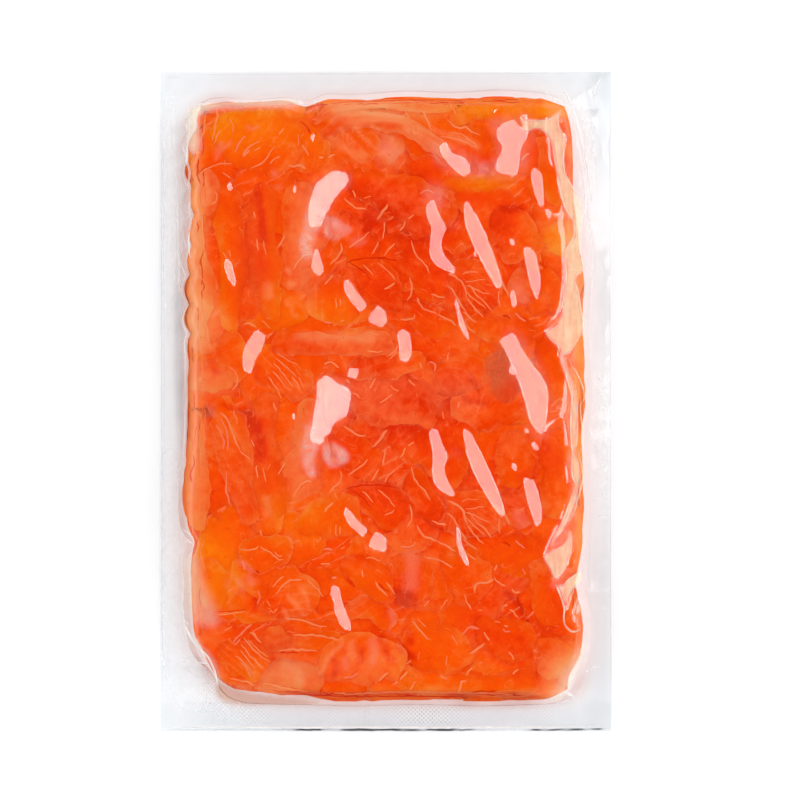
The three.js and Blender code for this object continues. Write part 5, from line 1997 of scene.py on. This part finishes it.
# ------------------------------------------------------------------ creases pressed in the film, with painted highlights and shade
# Sharp folds and edges of the film, in pixels: milk, grey, width and line. Their milk is painted highlight along the
# folds and edges, the wide grey strips beside the fish are painted shadow, and the darkest line under the bottom edge
# is a painted shadow line.
PLEATS = [
    (1.2, 0.0, 2.2, [(164, 727.0), (260, 727.2), (360, 727.4), (460, 727.4), (560, 727.2), (609, 726.8)]),
    (0.0, 2.3, 2.0, [(270, 729.7), (330, 729.7), (390, 729.8), (450, 729.9), (506, 729.9)]),
    (0.0, 2.3, 2.0, [(522, 729.9), (550, 729.8), (580, 729.4), (611, 728.4)]),
    (0.0, 0.7, 1.3, [(162, 729.6), (200, 729.7), (300, 729.8)]),
    (0.0, 0.7, 1.3, [(162, 76), (161.6, 200), (161.6, 350), (161.8, 500), (162, 640), (162.4, 726)]),
    (0.0, 0.55, 1.2, [(163, 74.6), (260, 74.2), (380, 73.8), (500, 73.4), (609, 73)]),
    (0.0, 0.6, 1.3, [(609.6, 75), (610, 200), (610.4, 350), (610.6, 500), (611, 640), (611.4, 726)]),
    (0.0, 0.35, 1.3, [(166, 703.5), (220, 703.2), (300, 703.6), (400, 703.4), (500, 703.6), (606, 703.2)]),
    (0.85, 0.0, 3.0, [(176, 165), (178, 200), (179, 240), (180, 280), (182, 318)]),
    (0.0, 0.30, 2.2, [(163, 95), (163.5, 200), (164, 330), (164, 470), (164.5, 640)]),
    (0.0, 0.28, 4.0, [(183, 150), (184, 190), (184, 230), (184, 270)]),
    (0.0, 0.34, 9.0, [(179, 282), (180, 320), (180, 370), (180, 410), (180, 450)]),
    (0.0, 0.22, 7.0, [(181, 440), (181, 470), (181, 500), (182, 530)]),
    (0.9, 0.0, 2.2, [(193.5, 107), (191.5, 120), (190, 136), (187.6, 150), (187.5, 162), (190, 172), (189, 184), (190.5, 196)]),
    (0.9, 0.0, 2.0, [(190.5, 196), (189.6, 208), (191.8, 220), (190.2, 232), (189.4, 246), (191.5, 260)]),
    (0.0, 0.30, 1.2, [(161, 78), (172, 77.6), (183, 78.2)]),
    (0.0, 0.34, 1.5, [(578, 95), (584, 120), (591, 147), (598, 164), (604, 177), (609, 188)]),
    (0.0, 0.32, 14.0, [(596, 92), (600, 112), (603, 134), (606, 164)]),
    (0.0, 0.26, 8.0, [(588, 84), (592, 104), (596, 130)]),
    (0.8, 0.0, 2.0, [(570, 97), (576, 120), (583, 146), (588, 172), (592, 205)]),
    (0.8, 0.0, 1.6, [(574, 130), (579, 152), (584, 180), (586, 214)]),
    (0.7, 0.0, 2.4, [(563, 90), (569, 100), (573, 112)]),
    (0.6, 0.0, 3.0, [(592, 96), (597, 84), (603, 74)]),
    (0.0, 0.30, 1.3, [(586, 240), (589, 262), (590, 290), (589, 320)]),
    (0.0, 0.30, 1.2, [(592, 505), (590, 540), (589, 575), (591, 610)]),
    (0.0, 0.45, 1.4, [(180, 659), (190, 657.5), (200, 657), (208, 657.5)]),
    (0.0, 0.55, 1.4, [(181, 667), (190, 672), (200, 677), (209, 674)]),
    (0.0, 0.28, 5.0, [(182, 667), (192, 668), (203, 671), (210, 672)]),
    (0.9, 0.0, 2.2, [(181, 662), (192, 661), (202, 662), (211, 663)]),
    (0.0, 0.50, 1.6, [(181, 622), (185, 624), (189, 629)]),
    (0.8, 0.0, 1.8, [(183, 619), (187, 621), (190, 626)]),
    (0.0, 0.34, 1.0, [(182, 686), (190, 686.4)]),
    (0.0, 0.20, 1.0, [(166, 645), (176, 645)]),
    (0.9, 0.0, 2.2, [(184, 570), (184, 590), (183, 606), (185, 620), (190, 634), (198, 646), (208, 656), (214, 668), (219, 684), (223, 696)]),
    (0.0, 0.34, 1.3, [(186, 560), (190, 552), (196, 546)]),
    (0.8, 0.0, 1.5, [(183, 528), (188, 532), (193, 536)]),
    (0.8, 0.0, 1.5, [(182, 536), (188, 540), (194, 543)]),
    (0.0, 0.34, 1.2, [(182, 533), (188, 537), (193, 540)]),
    (0.8, 0.0, 3.4, [(565, 690), (571, 695), (578, 699)]),
    (0.0, 0.30, 1.3, [(563, 694), (570, 699), (577, 702)]),
    (0.7, 0.0, 2.4, [(584, 672), (592, 668), (600, 666)]),
    (0.0, 0.20, 1.0, [(365, 705), (365, 726)]),
    (0.0, 0.16, 1.0, [(369, 705), (369, 726)]),
    (0.85, 0.0, 2.6, [(298, 101), (304, 105)]),
    (0.85, 0.0, 2.2, [(313, 103), (316, 105)]),
]
# The same over the shoulder on the right: painted highlight streaks.
STREAKS = [
    (0.55, 0.0, 1.3, [(520, 119), (534, 121), (545, 120.5), (555, 116.5), (561, 110)]),
    (0.75, 0.0, 1.5, [(561, 110), (558, 123), (562.6, 134.5), (563.8, 146), (563.3, 160), (565, 173.5), (569.5, 183), (575.3, 192), (580.4, 203.4), (582.2, 219.5)]),
    (0.7, 0.0, 1.4, [(543, 132), (548.8, 137), (552.3, 146), (554.6, 160), (557, 171.3), (559.2, 185), (561.5, 196.6), (565, 207), (569.5, 215), (573.5, 222), (574, 234), (571.8, 240), (566, 249.4), (565, 261), (566, 279), (564.2, 293), (562.6, 307), (561, 316)]),
    (0.6, 0.0, 1.2, [(580.4, 236), (580.4, 247), (578.8, 256), (581.8, 261), (583.4, 270)]),
    (0.6, 0.0, 1.2, [(567, 269), (572, 265), (578, 268), (581, 273)]),
    (0.6, 0.0, 1.2, [(568, 273), (573, 270), (578, 273)]),
    (0.7, 0.0, 1.4, [(576, 276), (575.3, 282), (578.8, 295.4), (580.4, 307), (583, 320.7), (583.5, 332)]),
    (0.55, 0.0, 1.2, [(544.2, 330), (550, 339), (558, 346), (558.7, 355)]),
    (0.65, 0.0, 1.3, [(583, 330), (575.3, 344), (569.5, 351), (563, 354)]),
    (0.75, 0.0, 1.4, [(558.7, 355), (561.5, 364.5), (566, 376), (570.2, 389.8), (571.8, 399), (571.2, 410.5), (570.7, 426.6), (571.2, 440.4), (572.5, 454), (571.2, 465.6), (572.5, 477), (575.3, 484), (571.8, 495.6), (567.2, 509.4), (561.5, 523), (554.6, 534.6), (548.8, 545)]),
    (0.65, 0.0, 1.3, [(563, 356), (569, 362), (576, 372), (582.2, 385), (584, 399), (580.4, 406), (581.8, 426), (582.7, 445), (578.8, 454), (581.5, 466), (582.5, 480), (578, 498), (572, 517), (565, 531)]),
    (0.55, 0.0, 1.2, [(577, 402), (577.4, 422), (576.8, 440), (575, 452)]),
    (0.6, 0.0, 1.2, [(569, 528), (571.7, 541), (571.7, 547), (569, 555.6), (565.6, 565.6), (562.2, 571), (555.6, 579)]),
    (0.85, 0.0, 1.8, [(554.4, 580.6), (557.8, 589), (561.7, 599), (564, 608), (563.9, 617), (564.6, 624.4), (569, 629.4), (573, 631.6), (578, 630.4), (583, 626.7)]),
    (0.6, 0.0, 1.2, [(580, 571), (574.4, 576), (567.8, 580), (563, 585.5)]),
    (0.5, 0.0, 1.2, [(576, 617), (577, 622), (577.6, 628)]),
    (0.6, 0.0, 1.6, [(583, 640), (581.6, 650), (580.4, 658)]),
]


def crease(heap, milk_and_glare, grey_and_shade, wide, points, seed, z):
    """One fold of film, a strip standing a little off it. Its milk is painted highlight and its grey painted shade."""
    p, _ = spline(np.array(points, float), 80)
    level = z
    for _ in range(4):
        x, y = at(p[:, 0], p[:, 1], level)
        x, y = np.clip(x, -POUCH_W / 2, POUCH_W / 2), np.clip(y, -POUCH_L / 2, POUCH_L / 2)
        level = 0.5 * level + 0.5 * read(SKIN, x, y)
    rows, length = spline(np.c_[x, y], 80)
    n = max(7, int(length / 0.9) + 1)
    rows, _ = spline(np.c_[x, y], n)
    s = np.linspace(0, 1, n)
    loose = 1.0 if length < 120 else 0.2  # long cut edges run straight
    rows[:, 0] += 0.16 * loose * wobble(s * length, 0 * s + seed, 2.9, seed)
    rows[:, 1] += 0.16 * loose * wobble(s * length, 0 * s + seed, 2.9, seed + 1)
    d = np.gradient(rows, axis=0)
    d /= np.hypot(*d.T)[:, None] + 1e-9
    half = 0.5 * wide * PX * (1 + 0.35 * loose * wobble(s * length, 0 * s + seed, 4.1, seed + 2))
    half = half * np.clip(np.minimum(s, 1 - s) * 7.0 + 0.1, 0, 1) ** 0.7
    ring = [(-1.0, 0.0), (-0.5, 0.8), (0.5, 0.8), (1.0, 0.0)]
    P = []
    for t, up in ring:
        X, Y = rows[:, 0] - d[:, 1] * half * t, rows[:, 1] + d[:, 0] * half * t
        X, Y = np.clip(X, -POUCH_W / 2, POUCH_W / 2), np.clip(Y, -POUCH_L / 2, POUCH_L / 2)
        x0, y0 = unplace(X, Y)
        Z = upper(x0, y0) + read(RELIEF, X, Y) + border_relief(x0, y0)
        P.append(np.stack([X, Y, Z + 0.10 + 0.16 * up * np.minimum(1, half / 0.5)], 1))
    P = np.stack(P, 1)
    m = len(ring)
    ids = np.arange(n * m).reshape(n, m)
    quads = [
        np.stack([ids[:-1, j], ids[1:, j], ids[1:, j + 1], ids[:-1, j + 1]], 1) for j in range(m - 1)
    ]
    fade = np.clip(np.minimum(s, 1 - s) * 6.0 + 0.1, 0, 1) * (0.75 + 0.35 * loose * wobble(s * length, 0 * s, 5.0, seed + 3))
    fade = np.repeat(np.clip(fade, 0, 1), m)
    one = np.ones(n * m)
    heap.take(
        P.reshape(-1, 3),
        np.vstack(quads),
        np.stack([0.8 * milk_and_glare * fade, 0 * one, grey_and_shade * 0.5 * fade, one], 1),
        np.stack([0.4 * one, (0.8 if z > 10 else 0.1) * one, 0 * one, one], 1),
        0 * P.reshape(-1, 3),
    )


# Painted highlight rims along the glints.
for g in (2, 3, 4, 8, 9, 10, 11, 12, 15, 16, 17, 18, 19, 20, 23, 24):
    STREAKS.append((0.6 if g in (3, 12, 16) else 0.3, 0.0, 1.0, GLINTS[g] + GLINTS[g][:1]))

folds = Heap()
for k, (milk_and_glare, grey_and_shade, wide, points) in enumerate(PLEATS):
    crease(folds, milk_and_glare, grey_and_shade, wide, points, 900 + 5 * k, 3.0)
for k, (milk_and_glare, grey_and_shade, wide, points) in enumerate(STREAKS):
    crease(folds, milk_and_glare, grey_and_shade, wide, points, 1200 + 5 * k, 18.0)
mesh(
    "film_creases",
    np.vstack(folds.points),
    np.vstack(folds.faces),
    FILM,
    {"haze": np.vstack(folds.fibre), "sheen": np.vstack(folds.look)},
)
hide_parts("sealed_pouch")

# ------------------------------------------------------------------ stage
def backdrop(name):
    t = Nodes(name)
    n = t.noise(t.place(), 240.0, 1.0)
    c = t.mix(n, (0.66, 0.685, 0.70, 1), (0.67, 0.695, 0.71, 1))
    lit = t.shader("Emission", Color=t.mix(n, (0.345, 0.35, 0.355, 1), (0.35, 0.355, 0.36, 1)), Strength=1.0)
    return t.done(t.both(t.shader("BsdfDiffuse", Color=c), lit))


floor = bpy.data.meshes.new("floor")
r = 4.0
floor.from_pydata([(-r, -r, 0), (r, -r, 0), (r, r, 0), (-r, r, 0)], [], [(0, 1, 2, 3)])
floor = bpy.data.objects.new("floor", floor)
bpy.context.scene.collection.objects.link(floor)
floor.data.materials.append(backdrop("paper_white"))
floor.location.z = -0.0002

world = bpy.data.worlds.new("studio")
bpy.context.scene.world = world
world.use_nodes = True
wt = world.node_tree
wt.nodes.clear()


def wnode(kind, **inputs):
    n = wt.nodes.new("ShaderNode" + kind)
    for k, v in inputs.items():
        if hasattr(v, "is_output"):
            wt.links.new(v, n.inputs[int(k[1:])])
        else:
            n.inputs[int(k[1:])].default_value = v
    return n


coord = wnode("TexCoord").outputs["Generated"]
unit = wnode("VectorMath", i0=coord)
unit.operation = "NORMALIZE"
unit = unit.outputs[0]


def away(direction):
    """Degrees between the way looked and this direction."""
    d = wnode("VectorMath", i0=unit, i1=tuple(direction))
    d.operation = "DOT_PRODUCT"
    a = wnode("Math", i0=d.outputs["Value"])
    a.operation = "ARCCOSINE"
    b = wnode("Math", i0=a.outputs[0], i1=180 / math.pi)
    b.operation = "MULTIPLY"
    return b.outputs[0]


def step_down(v, a, b, high, low):
    n = wnode("MapRange", i0=v, i1=a, i2=b, i3=high, i4=low)
    n.interpolation_type = "SMOOTHSTEP"
    return n.outputs[0]


def wmath(how, a, b):
    n = wnode("Math", i0=a, i1=b)
    n.operation = how
    return n.outputs[0]


DOME = 1.93
half = math.degrees(KEY_HALF)
from_top = away((0, 0, 1))
dark = step_down(from_top, 26.0, 48.0, 0.012, DOME)
dark = wmath("MULTIPLY", dark, step_down(from_top, 62.0, 74.0, 1.0, 0.45))
# the near and far ends of the studio are dim, low down excepted
parts = wnode("SeparateXYZ", i0=unit)
flat_len = wmath("SQRT", wmath("ADD", wmath("MULTIPLY", parts.outputs[0], parts.outputs[0]), wmath("MULTIPLY", parts.outputs[1], parts.outputs[1])), 0.0)
sideways = wmath("DIVIDE", wmath("ABSOLUTE", parts.outputs[0], 0.0), wmath("MAXIMUM", flat_len, 0.001))
ends = step_down(sideways, 0.15, 0.6, 0.22, 1.0)
ends = wmath("MAXIMUM", ends, step_down(from_top, 74.0, 86.0, 0.0, 1.0))
dark = wmath("MULTIPLY", dark, ends)
box = step_down(away(KEY), half - 1.2, half + 0.8, 1.0, 0.0)
middle = wmath("ADD", 6.9, step_down(away(HOT), 0.0, 3.6, 3.8, 0.0))
core_ = wmath("ADD", middle, step_down(away(KEY), half - 2.2, half - 0.9, 0.0, 9.0))
strength = wmath("ADD", dark, wmath("MULTIPLY", box, core_))
low_half = 8.0
low_box = step_down(away(LOW), low_half - 0.6, low_half + 0.6, 1.0, 0.0)
low_core = wmath("ADD", 0.6, step_down(away(LOW), low_half - 1.9, low_half - 0.8, 0.0, 3.4))
strength = wmath("ADD", strength, wmath("MULTIPLY", low_box, low_core))
bg = wnode("Background")
bg.inputs[0].default_value = (1, 1, 1, 1)
wt.links.new(strength, bg.inputs[1])
out = wnode("OutputWorld")
wt.links.new(bg.outputs[0], out.inputs[0])
try:
    world.cycles.sampling_method = "MANUAL"
    world.cycles.sample_map_resolution = 1024
except AttributeError:
    pass

# ------------------------------------------------------------------ camera and view
cam = bpy.data.objects.new("camera", bpy.data.cameras.new("camera"))
bpy.context.scene.collection.objects.link(cam)
cam.data.lens, cam.data.sensor_width = LENS, SENSOR
cam.location = (CAM_X / 1000, CAM_Y / 1000, CAM_Z / 1000)
cam.rotation_euler = (0, 0, 0)
cam.data.clip_start, cam.data.clip_end = 0.01, 20
bpy.context.scene.camera = cam
scene = bpy.context.scene
scene.view_settings.view_transform = "Standard"
scene.view_settings.look = "None"
scene.view_settings.exposure = 0.0
scene.view_settings.gamma = 1.0
